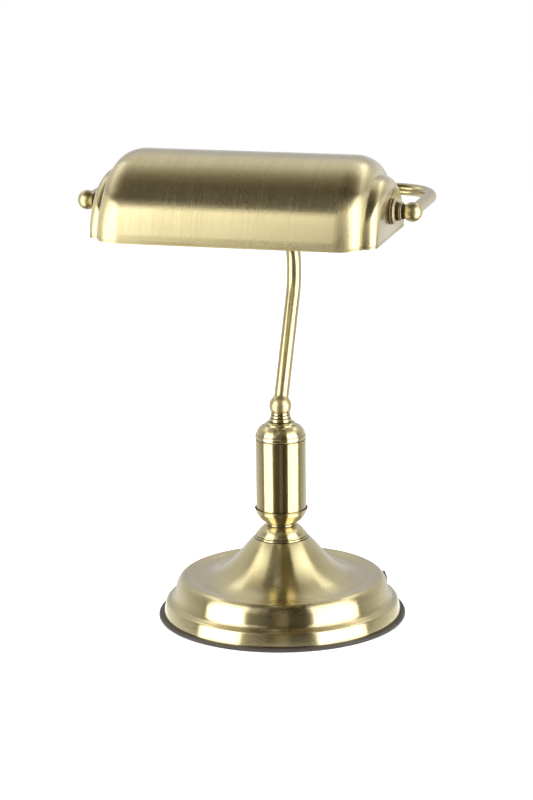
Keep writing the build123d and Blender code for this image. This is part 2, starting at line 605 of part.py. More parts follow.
def make_pivot_nut():
    hexagon = nut(PIVOT_NUT_ACROSS_FLATS, PIVOT_NUT_HEIGHT, SPINDLE_RADIUS + THREAD_PLAY)
    seat = PLATE_INNER_X - INNER_WASHER[1]
    return along_x(seat - PIVOT_NUT_HEIGHT, PIVOT_Y, PIVOT_HEIGHT) * hexagon


def pivot_pieces():
    """Every piece of the right-hand pivot, by name."""
    pieces = {
        "pivot_ball": make_pivot_ball(),
        "pivot_spindle": make_spindle(),
        "pivot_nut": make_pivot_nut(),
        "inner_washer": pivot_ring(*INNER_WASHER, PLATE_INNER_X - INNER_WASHER[1])}
    names = ("friction_washer", "friction_disc", "fibre_washer", "spacer_ring", "neck_washer")
    start = SHADE_HALF_LENGTH
    for name, (radius, thickness) in zip(names, PIVOT_STACK):
        ring = pivot_ring(radius, thickness, start)
        rims = ring.edges().filter_by(GeomType.CIRCLE).sort_by(SortBy.RADIUS)[-2:]
        pieces[name] = fillet(rims, WASHER_ROUND * thickness)
        start += thickness
    return pieces


# ---- shade ---------------------------------------------------------------------------------------
def shade_path():
    """Half an ellipse round the shade, from the front edge over the top to the back edge."""
    side_view = Plane(origin=(0, PIVOT_Y, SHADE_BOTTOM), x_dir=(0, -1, 0), z_dir=(-1, 0, 0))
    return side_view * EllipticalCenterArc((0, 0), SHADE_HALF_DEPTH, SHADE_HEIGHT, 0, arc_size=180)


def shade_half_outline():
    """The outside from the middle to one end, as (x, depth under the outermost skin)."""
    round_start = SHADE_STEP_X - MAIN_ROUND_LENGTH
    tier_start = SHADE_HALF_LENGTH - TIER_ROUND
    plate_depth = MAIN_ROUND_DEPTH + TIER_ROUND
    return [
        Line((0, 0), (round_start, 0)),
        EllipticalCenterArc((round_start, MAIN_ROUND_DEPTH), MAIN_ROUND_LENGTH, MAIN_ROUND_DEPTH,
                            -90, arc_size=90),
        Line((SHADE_STEP_X, MAIN_ROUND_DEPTH), (tier_start, MAIN_ROUND_DEPTH)),
        CenterArc((tier_start, plate_depth), TIER_ROUND, -90, 90),
        Line((SHADE_HALF_LENGTH, plate_depth), (SHADE_HALF_LENGTH, plate_depth + END_FLANGE))]


def shade_skin():
    """The wall's section along the length, in the plane of the shade's bottom edge."""
    band = make_face(offset(Wire(shade_half_outline()), SHADE_WALL, side=Side.LEFT, closed=True))
    ground = Plane(origin=(0, PIVOT_Y - SHADE_HALF_DEPTH, SHADE_BOTTOM))
    return ground * (band + mirror(band, Plane.YZ))


def end_plate_face():
    """Flat end of the shade, a half ellipse that overlaps the end flange."""
    depth = MAIN_ROUND_DEPTH + TIER_ROUND + 0.5 * END_FLANGE
    arch = EllipticalCenterArc((0, 0), SHADE_HALF_DEPTH - depth, SHADE_HEIGHT - depth, 0, arc_size=180)
    return make_face([arch, Line(arch @ 1, arch @ 0)])


def make_shade():
    shade = sweep(shade_skin(), shade_path())
    for side in (-1, 1):
        inner_face = side * SHADE_HALF_LENGTH - 0.5 * (1 + side) * SHADE_WALL
        shade += extrude(along_x(inner_face, PIVOT_Y, SHADE_BOTTOM) * end_plate_face(), SHADE_WALL)
        pivot = along_x(inner_face, PIVOT_Y, PIVOT_HEIGHT)
        shade -= pivot * rod(SPINDLE_RADIUS + PIVOT_PLAY, SHADE_WALL)
    for place in bracket_screw_places(-SHADE_HALF_LENGTH):
        shade -= place * rod(SCREW_RADIUS + SLIP, SHADE_WALL)
    return shade


# ---- lampholder: drawn along +Z from the bracket's web, then laid along +X ----------------------------
def socket_place(offset_x=0.0):
    """Place on the lampholder's axis, counted from the front face of the bracket's web."""
    web_x = -(PLATE_INNER_X - BRACKET_DEPTH)
    return along_x(web_x + offset_x, PIVOT_Y, SOCKET_Z)


def bracket_screw_places(x):
    """The bracket's two screw positions on a plane across the shade."""
    level = PIVOT_HEIGHT - BRACKET_SCREW_DROP
    return [along_x(x, PIVOT_Y + side * BRACKET_SCREW_Y, level) for side in (-1, 1)]


def slab(x, y, z, size_x, size_y, size_z):
    """Box centred on a point given from the pivot's axis and the left end plate's inside."""
    return Pos(x - PLATE_INNER_X, PIVOT_Y + y, PIVOT_HEIGHT + z) * Box(size_x, size_y, size_z)


def make_bracket():
    """Hat-section strip that stands off the left end plate and carries the lampholder."""
    thick = BRACKET_THICKNESS
    drop = -BRACKET_SCREW_DROP
    leg_y = 0.5 * (BRACKET_INNER_SPAN + thick)
    foot_y = leg_y + 0.5 * (thick + BRACKET_FOOT)
    web_x = BRACKET_DEPTH - 0.5 * thick
    ear_rise = SOCKET_RISE + BRACKET_SCREW_DROP
    ear_z = drop + 0.5 * ear_rise
    bracket = slab(web_x, 0, drop, thick, 2 * leg_y + thick, BRACKET_WIDTH)
    bracket += slab(web_x, 0, ear_z, thick, BRACKET_EAR_WIDTH, BRACKET_WIDTH + ear_rise)
    for side in (-1, 1):
        bracket += slab(0.5 * BRACKET_DEPTH, side * leg_y, drop, BRACKET_DEPTH, thick, BRACKET_WIDTH)
        bracket += slab(0.5 * thick, side * foot_y, drop, thick, BRACKET_FOOT, BRACKET_WIDTH)
    bracket -= socket_place(-thick) * rod(ROD_RADIUS + SLIP, thick)
    for place in bracket_screw_places(-PLATE_INNER_X):
        bracket -= place * rod(SCREW_RADIUS + SLIP, thick)
    return bracket


def make_bracket_screws():
    """Pan-head screws through the left end plate, each with its nut inside."""
    head = rod(SCREW_HEAD_RADIUS, SCREW_HEAD_HEIGHT)
    head = fillet(head.edges().group_by(Axis.Z)[0], 0.5 * SCREW_HEAD_HEIGHT)
    grip = SHADE_WALL + BRACKET_THICKNESS
    screw = Pos(0, 0, -SCREW_HEAD_HEIGHT) * head + rod(SCREW_RADIUS, grip + BRACKET_SCREW_LENGTH)
    return Compound(children=[place * screw for place in bracket_screw_places(-SHADE_HALF_LENGTH)])


def make_bracket_nuts():
    hexagon = nut(2 * BRACKET_NUT_RADIUS, BRACKET_NUT_HEIGHT, SCREW_RADIUS + THREAD_PLAY)
    seat = -PLATE_INNER_X + BRACKET_THICKNESS
    return Compound(children=[place * hexagon for place in bracket_screw_places(seat)])


def make_nipple():
    behind = BRACKET_THICKNESS + NIPPLE_NUT_HEIGHT + ROD_TAIL
    return socket_place(-behind) * (rod(ROD_RADIUS, NIPPLE_LENGTH) - rod(ROD_BORE, NIPPLE_LENGTH))


def make_nipple_nut():
    hexagon = nut(CLAMP_NUT_ACROSS_FLATS, NIPPLE_NUT_HEIGHT, ROD_THREAD)
    return socket_place(-BRACKET_THICKNESS - NIPPLE_NUT_HEIGHT) * hexagon


def make_holder_cap():
    """Rear half of the lampholder: a domed cup that is screwed on the nipple."""
    rim = (HOLDER_RADIUS, HOLDER_CAP_LENGTH)
    inner = HOLDER_RADIUS - HOLDER_WALL
    floor = HOLDER_WALL + NIPPLE_LENGTH - BRACKET_THICKNESS - NIPPLE_NUT_HEIGHT - ROD_TAIL
    return socket_place() * turned([
        Line((ROD_THREAD, 0), (HOLDER_CAP_NECK, 0)),
        bulged((HOLDER_CAP_NECK, 0), rim, HOLDER_CAP_BULGE),
        Polyline(rim, (inner, HOLDER_CAP_LENGTH), (inner, floor), (ROD_THREAD, floor), (ROD_THREAD, 0))])


def make_holder_body():
    """Front half of the lampholder: a plain tube with a chamfered mouth."""
    front = HOLDER_CAP_LENGTH + HOLDER_BODY_LENGTH
    body = sleeve(HOLDER_RADIUS, HOLDER_SKIRT_RADIUS, HOLDER_CAP_LENGTH, front)
    outer_rim = body.edges().group_by(Axis.Z)[-1].sort_by(SortBy.RADIUS)[-1]
    return socket_place() * chamfer(outer_rim, 0.5 * HOLDER_WALL)


def make_holder_insert():
    """Ceramic disc inside the lampholder that carries the contacts."""
    front = HOLDER_CAP_LENGTH + HOLDER_INSERT_LENGTH
    hole = CONTACT_SHANK_RADIUS + THREAD_PLAY
    return socket_place() * sleeve(HOLDER_SKIRT_RADIUS - SLIP, hole, HOLDER_CAP_LENGTH, front)


def make_contact():
    seat = LAMP_START - CONTACT_HEIGHT
    shank = disc(CONTACT_SHANK_RADIUS, seat - CONTACT_SHANK_LENGTH, seat)
    return socket_place() * (shank + disc(CONTACT_RADIUS, seat, LAMP_START))


def make_lamp_cap():
    shoulder = LAMP_START + LAMP_TIP_HEIGHT
    end = LAMP_START + LAMP_CAP_LENGTH
    cap = turned_polygon([(0, LAMP_START), (LAMP_TIP_RADIUS, LAMP_START), (LAMP_CAP_RADIUS, shoulder),
                          (LAMP_CAP_RADIUS, end), (0, end)])
    return socket_place() * cap


def make_lamp_glass():
    """Round bulb on a short neck that stands on the cap."""
    base = LAMP_START + LAMP_CAP_LENGTH
    centre = base + LAMP_NECK_LENGTH
    outlines = []
    for inset in (0, GLASS_WALL):
        neck, ball = LAMP_CAP_RADIUS - SLIP - inset, LAMP_RADIUS - inset
        joint = centre - sqrt(ball ** 2 - neck ** 2)
        outlines.append([Line((neck, base), (neck, joint)),
                         ThreePointArc((neck, joint), (ball, centre), (0, centre + ball))])
    outside, inside = outlines
    ends = [Line(outside[0] @ 0, inside[0] @ 0), Line(outside[1] @ 1, inside[1] @ 1)]
    return socket_place() * turned(outside + inside + ends)


# ---- outputs -------------------------------------------------------------------------------------
def build_parts():
    parts = {
        "base_shell": make_base_shell(),
        "base_edge_ring": make_edge_ring(),
        "base_weight": make_weight(),
        "base_cover": make_cover_plate(),
        "cover_screws": make_cover_screws(),
        "felt_pad": make_felt_pad(),
        "cord_grommet": make_grommet(),
        "clamp_washer": make_clamp_washer(),
        "clamp_nut": make_clamp_nut(),
        "spacer_sleeve": sleeve(SLEEVE_RADIUS, ROD_HOLE, WEIGHT_TOP, NECK_HEIGHT - SHELL_WALL),
        "threaded_rod": sleeve(ROD_RADIUS, ROD_BORE, ROD_BOTTOM, ROD_TOP),
        "neck_collar": make_collar(),
        "neck_ring": make_neck_ring(),
        "column_cup": make_cup(),
        "column_tube": sleeve(COLUMN_RADIUS, COLUMN_RADIUS - COLUMN_WALL, CUP_CREASE, COLUMN_TOP),
        "column_cap": make_cap(),
        "cap_ring": make_cap_ring(),
        "stem_neck": make_stem_neck(),
        "stem_ball": make_stem_ball(),
        "stem_tube": make_stem(),
        "bail_knuckle": make_knuckle(),
        "bail_tube": make_bail(),
        "shade_shell": make_shade(),
        "socket_bracket": make_bracket(),
        "bracket_screws": make_bracket_screws(),
        "bracket_nuts": make_bracket_nuts(),
        "socket_nipple": make_nipple(),
        "nipple_nut": make_nipple_nut(),
        "lampholder_cap": make_holder_cap(),
        "lampholder_body": make_holder_body(),
        "lampholder_insert": make_holder_insert(),
        "lampholder_contact": make_contact(),
        "bulb_cap": make_lamp_cap(),
        "bulb_glass": make_lamp_glass(),
    }
    for name, piece in pivot_pieces().items():
        parts[name + "_right"] = piece
        parts[name + "_left"] = mirror(piece, Plane.YZ)
    return parts


def main():
    os.makedirs("parts", exist_ok=True)
    for name, shape in build_parts().items():
        export_step(shape, f"parts/{name}.step")


if __name__ == "__main__":
    main()
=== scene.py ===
"""Looks of a banker's desk lamp in antique brass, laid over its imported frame."""

from math import asin, atan2, cos, hypot, pi, radians, sin, sqrt, tan

import bmesh
import bpy
from bpy.props import FloatProperty, FloatVectorProperty, PointerProperty
from mathutils import Matrix, Vector


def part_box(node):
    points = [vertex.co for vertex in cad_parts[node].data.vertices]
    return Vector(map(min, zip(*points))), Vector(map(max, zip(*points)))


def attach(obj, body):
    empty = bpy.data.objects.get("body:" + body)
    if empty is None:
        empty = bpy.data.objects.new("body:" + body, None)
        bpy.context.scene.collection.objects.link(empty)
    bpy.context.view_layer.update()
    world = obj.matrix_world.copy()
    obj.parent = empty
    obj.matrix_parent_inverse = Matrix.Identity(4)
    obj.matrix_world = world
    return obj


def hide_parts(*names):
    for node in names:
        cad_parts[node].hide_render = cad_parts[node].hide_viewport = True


bl_info = {
    "name": "Banker's Desk Lamp",
    "version": (1, 0, 0),
    "blender": (4, 5, 0),
    "location": "3D View > Sidebar > Desk Lamp",
    "description": "Builds the pieces, finishes and studio of a brass desk lamp with a tilting shade",
    "category": "Object",
}

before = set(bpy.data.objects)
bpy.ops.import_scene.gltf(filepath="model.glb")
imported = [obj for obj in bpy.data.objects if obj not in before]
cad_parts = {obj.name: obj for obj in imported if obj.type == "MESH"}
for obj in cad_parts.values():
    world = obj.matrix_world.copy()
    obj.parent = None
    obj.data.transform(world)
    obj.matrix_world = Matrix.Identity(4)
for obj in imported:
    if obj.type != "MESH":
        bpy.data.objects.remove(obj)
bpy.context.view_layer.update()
MM = 0.001


def low(node, axis):
    """Lowest coordinate of a frame node along an axis, in millimetres."""
    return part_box(node)[0][axis] / MM


def high(node, axis):
    """Highest coordinate of a frame node along an axis, in millimetres."""
    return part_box(node)[1][axis] / MM


def span(node, axis):
    """Size of a frame node along an axis, in millimetres."""
    return high(node, axis) - low(node, axis)


def middle(node, axis):
    """Middle of a frame node along an axis, in millimetres."""
    return (high(node, axis) + low(node, axis)) / 2


X, Y, Z = 0, 1, 2

# ---- sizes and colours that a user would change ---------------------------------------------------


def length(name, default_mm, description, lowest=0.0):
    """A length property whose default is given in millimetres."""
    return FloatProperty(name=name, description=description, default=default_mm * MM, min=lowest,
                         unit="LENGTH", precision=5)


def tint(name, colour, description):
    """A colour property in scene linear values."""
    return FloatVectorProperty(name=name, description=description, default=colour, min=0.0, max=1.0,
                               size=3, subtype="COLOR")


class LampSizes(bpy.types.PropertyGroup):
    """Sizes of the lamp's pieces, taken from the frame."""
    base_radius: length("Base radius", min(high("base_edge_ring", X), high("base_edge_ring", Y)),
                        "Radius over the rubber edge ring")
    column_radius: length("Column radius", high("column_tube", X), "Outside radius of the column")
    stem_radius: length("Stem radius", high("stem_tube", X), "Outside radius of the bent stem")
    bail_radius: length("Bail radius", span("bail_tube", Z) / 2, "Outside radius of the bail's tube")
    pivot_height: length("Pivot height", middle("bail_tube", Z), "Height of the axis that the shade tilts on")
    pivot_y: length("Pivot depth", middle("shade_shell", Y), "Place of the tilt axis, front to back", -1.0)
    shade_half_length: length("Shade half length", high("shade_shell", X), "Middle to end plate")
    shade_half_depth: length("Shade half depth", span("shade_shell", Y) / 2,
                             "Half of the shade's width at its lower edge")
    shade_height: length("Shade height", span("shade_shell", Z), "Lower edge to the top of the shade")
    shade_wall: length("Sheet thickness", 1.0, "Thickness of the shade's brass sheet")
    bulb_radius: length("Bulb radius", span("bulb_glass", Z) / 2, "Radius of the glass bulb")


class LampColours(bpy.types.PropertyGroup):
    """Colours of the lamp's materials."""
    brass: tint("Brass", (0.66, 0.575, 0.325), "Reflection colour of the antique brass")
    brass_shade: tint("Brass patina", (0.50, 0.425, 0.215), "Darker tone that drifts over the brass")
    # colour of the painted shade, together with the brass's patina, that occlusion lays into grooves, between
    # pieces and along the shade's hem
    groove_shade_and_patina: tint("Groove shade and patina", (0.13, 0.085, 0.04), "Painted shade and patina in the grooves")
    rubber: tint("Rubber", (0.024, 0.020, 0.015), "Edge ring and cable bush")
    brown_rubber: tint("Brown rubber", (0.12, 0.08, 0.034), "Friction washers of the pivots")
    fibre: tint("Fibre", (0.016, 0.012, 0.008), "Thin washers on the pivots")
    steel: tint("Plated steel", (0.60, 0.60, 0.58), "Nuts, screws, rods and the cover")
    iron: tint("Cast iron", (0.05, 0.05, 0.052), "Weight inside the base")
    felt: tint("Felt", (0.018, 0.022, 0.018), "Pad under the base")
    plastic: tint("Lampholder", (0.014, 0.013, 0.012), "Moulded lampholder")
    ceramic: tint("Ceramic", (0.75, 0.73, 0.66), "Insert of the lampholder")
    bulb_metal: tint("Bulb cap", (0.78, 0.78, 0.76), "Rolled metal of the bulb's thread")
    bulb_glass: tint("Bulb glass", (0.93, 0.92, 0.88), "Opal glass of the bulb")


# ---- outlines, in millimetres ---------------------------------------------------------------------


def arc(start, end, rise, steps=10):
    """Points of an arc that rises over its chord, to the right of the way it runs."""
    along = Vector(end) - Vector(start)
    half = along.length / 2
    along.normalize()
    side = Vector((along.y, -along.x))
    radius = (half * half + rise * rise) / (2 * rise)
    centre = (Vector(start) + Vector(end)) / 2 + side * (rise - radius)
    reach = asin(half / radius)
    turns = [reach * (2 * k / steps - 1) for k in range(steps + 1)]
    return [tuple(centre + side * radius * cos(t) + along * radius * sin(t)) for t in turns]


def bead(radius, depth, bottom, top, steps=10):
    """Points of a rounded edge from (radius - depth, bottom) out to radius and back at the top."""
    return arc((radius - depth, bottom), (radius - depth, top), depth, steps)


def flow(start, end, way_in, way_out, pull=(1.0, 1.0), steps=14):
    """Points of a smooth curve that leaves and arrives along two given directions."""
    first, last = Vector(start), Vector(end)
    reach = (last - first).length / 3
    near = first + Vector(way_in).normalized() * reach * pull[0]
    far = last - Vector(way_out).normalized() * reach * pull[1]
    return bend_through(first, near, far, last, steps)


def bend_through(first, near, far, last, steps):
    """Points of a cubic curve with two control points."""
    points = []
    for k in range(steps + 1):
        t = k / steps
        s = 1 - t
        points.append(tuple(s ** 3 * Vector(first) + 3 * s * s * t * Vector(near)
                            + 3 * s * t * t * Vector(far) + t ** 3 * Vector(last)))
    return points


def joined(*runs):
    """One outline from several runs of points, without doubled points."""
    outline = []
    for run in runs:
        for point in run:
            if not outline or hypot(point[0] - outline[-1][0], point[1] - outline[-1][1]) > 1e-4:
                outline.append(tuple(point))
    if hypot(outline[0][0] - outline[-1][0], outline[0][1] - outline[-1][1]) < 1e-4:
        outline.pop()
    return outline


def eased(outline, size, sharp=28.0, steps=4):
    """The closed outline with every sharp corner rounded by a small curve."""
    result = []
    count = len(outline)
    for i, point in enumerate(outline):
        here = Vector(point)
        before, after = here - Vector(outline[i - 1]), Vector(outline[(i + 1) % count]) - here
        if before.angle(after) < radians(sharp):
            result.append(point)
            continue
        cut = min(size, 0.45 * before.length, 0.45 * after.length)
        start, end = here - before.normalized() * cut, here + after.normalized() * cut
        for k in range(steps + 1):
            t = k / steps
            result.append(tuple((1 - t) ** 2 * start + 2 * t * (1 - t) * here + t * t * end))
    return result


# ---- meshes ---------------------------------------------------------------------------------------


SHARP = 30.0                # degrees at which an edge is sharp


def new_object(name, points, faces, material, sharp):
    """Mesh object from points in millimetres, smooth but for its sharp edges."""
    mesh = bpy.data.meshes.new(name)
    mesh.from_pydata([Vector(p) * MM for p in points], [], faces)
    work = bmesh.new()
    work.from_mesh(mesh)
    bmesh.ops.remove_doubles(work, verts=work.verts, dist=1e-7)
    bmesh.ops.recalc_face_normals(work, faces=work.faces)
    work.to_mesh(mesh)
    work.free()
    mesh.shade_smooth()
    mesh.set_sharp_from_angle(angle=radians(sharp))
    mesh.materials.append(material)
    piece = bpy.data.objects.new(name, mesh)
    bpy.context.scene.collection.objects.link(piece)
    return piece


def bridge(first, second, closed=True):
    """Faces between two runs of point numbers, all round where they are closed."""
    count = len(first)
    following = [(k + 1) % count for k in range(count if closed else count - 1)]
    return [(first[k], first[m], second[m], second[k]) for k, m in enumerate(following)]


def ring_faces(rows, sides):
    """Faces of a skin of closed rows, the last of which is joined to the first."""
    faces = []
    for i in range(rows):
        here, after = (range(row * sides, (row + 1) * sides) for row in (i, (i + 1) % rows))
        faces += bridge(here, after)
    return faces


def circle(radius, steps):
    """Points round the origin, as (x, y)."""
    return [(radius * cos(2 * pi * k / steps), radius * sin(2 * pi * k / steps)) for k in range(steps)]


def turned(outline, steps=128):
    """Shape of a closed outline of (radius, height) turned about Z."""
    points = [(x, y, height) for radius, height in outline for x, y in circle(radius, steps)]
    return points, ring_faces(len(outline), steps)


def moved(shape, x, y, z):
    """The shape moved to a place."""
    points, faces = shape
    return [(p[0] + x, p[1] + y, p[2] + z) for p in points], faces


def laid_along_x(shape, x, y, z, side=1):
    """The shape with its Z turned to X (or -X) and moved to a place."""
    points, faces = shape
    return [(x + side * p[2], y + p[0], z + side * p[1]) for p in points], faces


def bent_path(corners, radius, steps=20):
    """Centres and directions along a path of straights joined by round bends."""
    corners = [Vector(c) for c in corners]
    stations = [(corners[0], (corners[1] - corners[0]).normalized())]
    for before, corner, after in zip(corners, corners[1:], corners[2:]):
        way_in, way_out = (corner - before).normalized(), (after - corner).normalized()
        angle = way_in.angle(way_out)
        inward = (way_out - way_in).normalized()
        centre = corner + inward * radius / cos(angle / 2)
        axis = way_in.cross(way_out).normalized()
        spoke = corner - way_in * radius * tan(angle / 2) - centre
        for k in range(steps + 1):
            turn = Matrix.Rotation(angle * k / steps, 3, axis)
            stations.append((centre + turn @ spoke, turn @ way_in))
    stations.append((corners[-1], (corners[-1] - corners[-2]).normalized()))
    return stations


def tube(stations, plane_normal, outer, inner, sides=48):
    """Shape of a hollow tube along a flat path."""
    normal = Vector(plane_normal)
    points = []
    rows = [(station, outer) for station in stations]
    rows += [(station, inner) for station in reversed(stations)]
    for (centre, way), radius in rows:
        across = way.cross(normal)
        points += [centre + normal * along + across * aside for along, aside in circle(radius, sides)]
    return points, ring_faces(len(rows), sides)


def fit_piece(name, node, shape, finish, body="stand", sharp=SHARP):
    """Mesh object that takes a frame node's place, on a body and with a material slot."""
    piece = new_object(name, *shape, finish_of(finish), sharp)
    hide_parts(node)
    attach(piece, body)


def dress_nodes(nodes, finish):
    """Frame nodes that keep their own shapes get a finish and smooth shading."""
    for node in nodes:
        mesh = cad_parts[node].data
        mesh.materials.clear()
        mesh.materials.append(finish_of(finish))
        mesh.shade_smooth()
        mesh.set_sharp_from_angle(angle=radians(SHARP))


# ---- materials ------------------------------------------------------------------------------------


def solid(colour):
    """A colour with full cover."""
    return (*colour, 1.0)


def colour_sockets(sockets):
    return [socket for socket in sockets if socket.type == "RGBA"]


class Recipe:
    """A node tree that is put together step by step."""

    def __init__(self, tree):
        self.nodes, self.links = tree.nodes, tree.links

    def feed(self, socket, value):
        """Joins a socket to another one, or sets it to a number."""
        if isinstance(value, bpy.types.NodeSocket):
            self.links.new(value, socket)
        else:
            socket.default_value = value

    def node(self, kind, **inputs):
        """A node with its inputs set to numbers or joined to sockets."""
        made = self.nodes.new(kind)
        for key, value in inputs.items():
            self.feed(made.inputs[key.replace("_", " ")], value)
        return made

    def math(self, operation, first, second=0.0):
        made = self.nodes.new("ShaderNodeMath")
        made.operation = operation
        self.feed(made.inputs[0], first)
        self.feed(made.inputs[1], second)
        return made.outputs[0]

    def spread(self, value, low_in, high_in, low_out, high_out, way="LINEAR"):
        """A value mapped from one range to another."""
        made = self.node("ShaderNodeMapRange", Value=value, From_Min=low_in, From_Max=high_in,
                         To_Min=low_out, To_Max=high_out)
        made.interpolation_type = way
        return made.outputs["Result"]

    def blend(self, share, first, second):
        """A mix of two colours."""
        made = self.nodes.new("ShaderNodeMix")
        made.data_type = "RGBA"
        self.feed(made.inputs[0], share)
        for socket, value in zip(colour_sockets(made.inputs), (first, second)):
            self.feed(socket, value)
        return colour_sockets(made.outputs)[0]


class Finish(Recipe):
    """A material whose pattern lies in the object's own coordinates."""

    def __init__(self, name):
        self.material = bpy.data.materials.new(name)
        self.material.use_nodes = True
        super().__init__(self.material.node_tree)
        self.shader = self.nodes["Principled BSDF"]
        self.place = self.nodes.new("ShaderNodeTexCoord").outputs["Object"]

    def stretched(self, place, scale):
        """A place scaled by three numbers."""
        made = self.nodes.new("ShaderNodeVectorMath")
        made.operation = "MULTIPLY"
        self.feed(made.inputs[0], place)
        made.inputs[1].default_value = scale
        return made.outputs[0]

    def noise(self, place, scale, detail, roughness):
        """Noise whose fineness is one number, or three along X, Y and Z."""
        if isinstance(scale, tuple):
            place, scale = self.stretched(place, scale), 1.0
        made = self.node("ShaderNodeTexNoise", Vector=place, Scale=scale, Detail=detail,
                         Roughness=roughness)
        return made.outputs["Fac"]

    def occlusion_shade(self, reach_mm):
        """Mask of painted shade by ambient occlusion: 1 in the depth of a groove, 0 where nothing stands
        within the reach.
        """
        made = self.nodes.new("ShaderNodeAmbientOcclusion")
        made.samples = 8
        made.inputs["Distance"].default_value = reach_mm * MM
        return self.spread(made.outputs["AO"], 0.55, 0.92, 1.0, 0.0)

    def bump(self, height, strength, depth_mm):
        made = self.node("ShaderNodeBump", Height=height, Strength=strength, Distance=depth_mm * MM)
        self.links.new(made.outputs["Normal"], self.shader.inputs["Normal"])

    def set(self, **values):
        """Sets or joins sockets of the shader, and gives the material."""
        for key, value in values.items():
            self.feed(self.shader.inputs[key.replace("_", " ")], value)
        return self.material


# brush lines by how a piece was made: fineness of the noise along X, Y and Z
LAYS = {
    "turned": (28.0, 28.0, 1400.0),
    "brushed": (1150.0, 16.0, 16.0),
    "drawn": (260.0, 260.0, 30.0),
    "plain": (120.0, 120.0, 120.0),
}
FULL_TONE, OLIVE_TONE, DULL_TONE = (1.0, 1.0, 1.0), (0.86, 0.84, 0.76), (0.88, 0.87, 0.84)
# lay, roughness, strength of the streaks, anisotropy, share of painted shade and patina in the grooves, tone
BRASSES = {
    "brass_turned": ("turned", 0.26, 0.35, 1.0, 0.6, FULL_TONE),
    "brass_column": ("turned", 0.26, 0.25, 1.0, 0.8, OLIVE_TONE),
    "brass_fine": ("turned", 0.26, 0.25, 0.95, 0.8, FULL_TONE),
    "brass_brushed": ("brushed", 0.26, 0.6, 1.0, 0.2, FULL_TONE),
    "brass_drawn": ("drawn", 0.28, 0.3, 0.0, 1.0, DULL_TONE),
    "brass_polished": ("plain", 0.38, 0.3, 0.0, 1.0, DULL_TONE),
}
LACQUER, LACQUER_ROUGHNESS = 0.7, 0.14
# reach of the occlusion that paints shade into the brass's grooves
GROOVE_REACH = 1.1
# painted shade of a rolled hem: the dark line starts fading in and ends fading out at these heights
HEM_START, HEM_END = (0.4, 1.0), (1.7, 2.9)     # heights over the shade's edge where its hem fades


def turning_place(finish):
    """Place that is the same all round the Z axis at one depth, so that noise becomes lathe lines."""
    split = finish.node("ShaderNodeSeparateXYZ", Vector=finish.place)
    square = [finish.math("MULTIPLY", split.outputs[k], split.outputs[k]) for k in (0, 1)]
    radius = finish.math("SQRT", finish.math("ADD", square[0], square[1]))
    level = finish.math("ADD", finish.math("MULTIPLY", radius, 0.8), split.outputs[2])
    made = finish.node("ShaderNodeCombineXYZ", X=split.outputs[0], Y=split.outputs[1], Z=level)
    return made.outputs[0]


def painted_hem_shade(finish, drift):
    """Mask of an uneven dark line a little over the shade's lower edge: painted shade of a rolled hem."""
    height = finish.node("ShaderNodeSeparateXYZ", Vector=finish.place).outputs[2]
    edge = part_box("shade_shell")[0].z
    rise, fall = ([edge + z * MM for z in ends] for ends in (HEM_START, HEM_END))
    band = finish.math("MULTIPLY", finish.spread(height, *rise, 0.0, 1.0),
                       finish.spread(height, *fall, 1.0, 0.0))
    return finish.math("MULTIPLY", band, finish.spread(drift, 0.3, 0.7, 0.1, 0.5))


def make_brass(name):
    """Satin antique brass whose brush lines follow the way it was made, with painted shade and patina in its
    grooves.
    """
    lay, roughness, streak, anisotropy, shade_and_patina_share, tone = BRASSES[name]
    colours = bpy.context.scene.lamp_colours
    finish = Finish(name)
    place = finish.stretched(turning_place(finish) if lay == "turned" else finish.place, LAYS[lay])
    fine, coarse = finish.noise(place, 1.3, 1.0, 0.5), finish.noise(place, 0.35, 2.0, 0.5)
    drift = finish.noise(finish.place, 24.0, 4.0, 0.6)
    lines = finish.math("ADD", finish.math("MULTIPLY", fine, 0.2), finish.math("MULTIPLY", coarse, 0.8))
    share = finish.math("ADD", finish.spread(lines, 0.36, 0.64, 0.0, 0.5 * streak),
                        finish.spread(drift, 0.35, 0.7, 0.0, 0.35))
    bright, dull = (solid([t * c for t, c in zip(tone, colour)])
                    for colour in (colours.brass, colours.brass_shade))
    # painted shade and patina: the colour turns to the groove tone where occlusion finds a groove, and on the
    # shade also along its hem line
    groove = finish.math("MULTIPLY", finish.occlusion_shade(GROOVE_REACH), shade_and_patina_share)
    # painted shade of a rolled hem along the shade's lower edge
    if lay == "brushed":
        groove = finish.math("ADD", groove, painted_hem_shade(finish, drift))
    colour = finish.blend(groove, finish.blend(share, bright, dull), solid(colours.groove_shade_and_patina))
    rough = finish.math("ADD", finish.spread(lines, 0.35, 0.65, -0.025 * streak, 0.03 * streak),
                        finish.spread(drift, 0.3, 0.7, roughness - 0.01, roughness + 0.015))
    rough = finish.math("ADD", rough, finish.math("MULTIPLY", groove, 0.15))
    finish.bump(coarse, 0.002 * streak, 0.05)
    if anisotropy:
        tangent = finish.nodes.new("ShaderNodeTangent")
        tangent.direction_type = "RADIAL"
        tangent.axis = "Z" if lay == "turned" else "X"
        finish.set(Tangent=tangent.outputs[0], Anisotropic=anisotropy, Anisotropic_Rotation=0.25)
    return finish.set(Base_Color=colour, Metallic=1.0, Roughness=rough, Coat_Weight=LACQUER,
                      Coat_Roughness=LACQUER_ROUGHNESS)


RUST, WORN_METAL, CLOUDED_GLASS = (0.075, 0.045, 0.03), (0.55, 0.55, 0.54), (0.87, 0.86, 0.82)
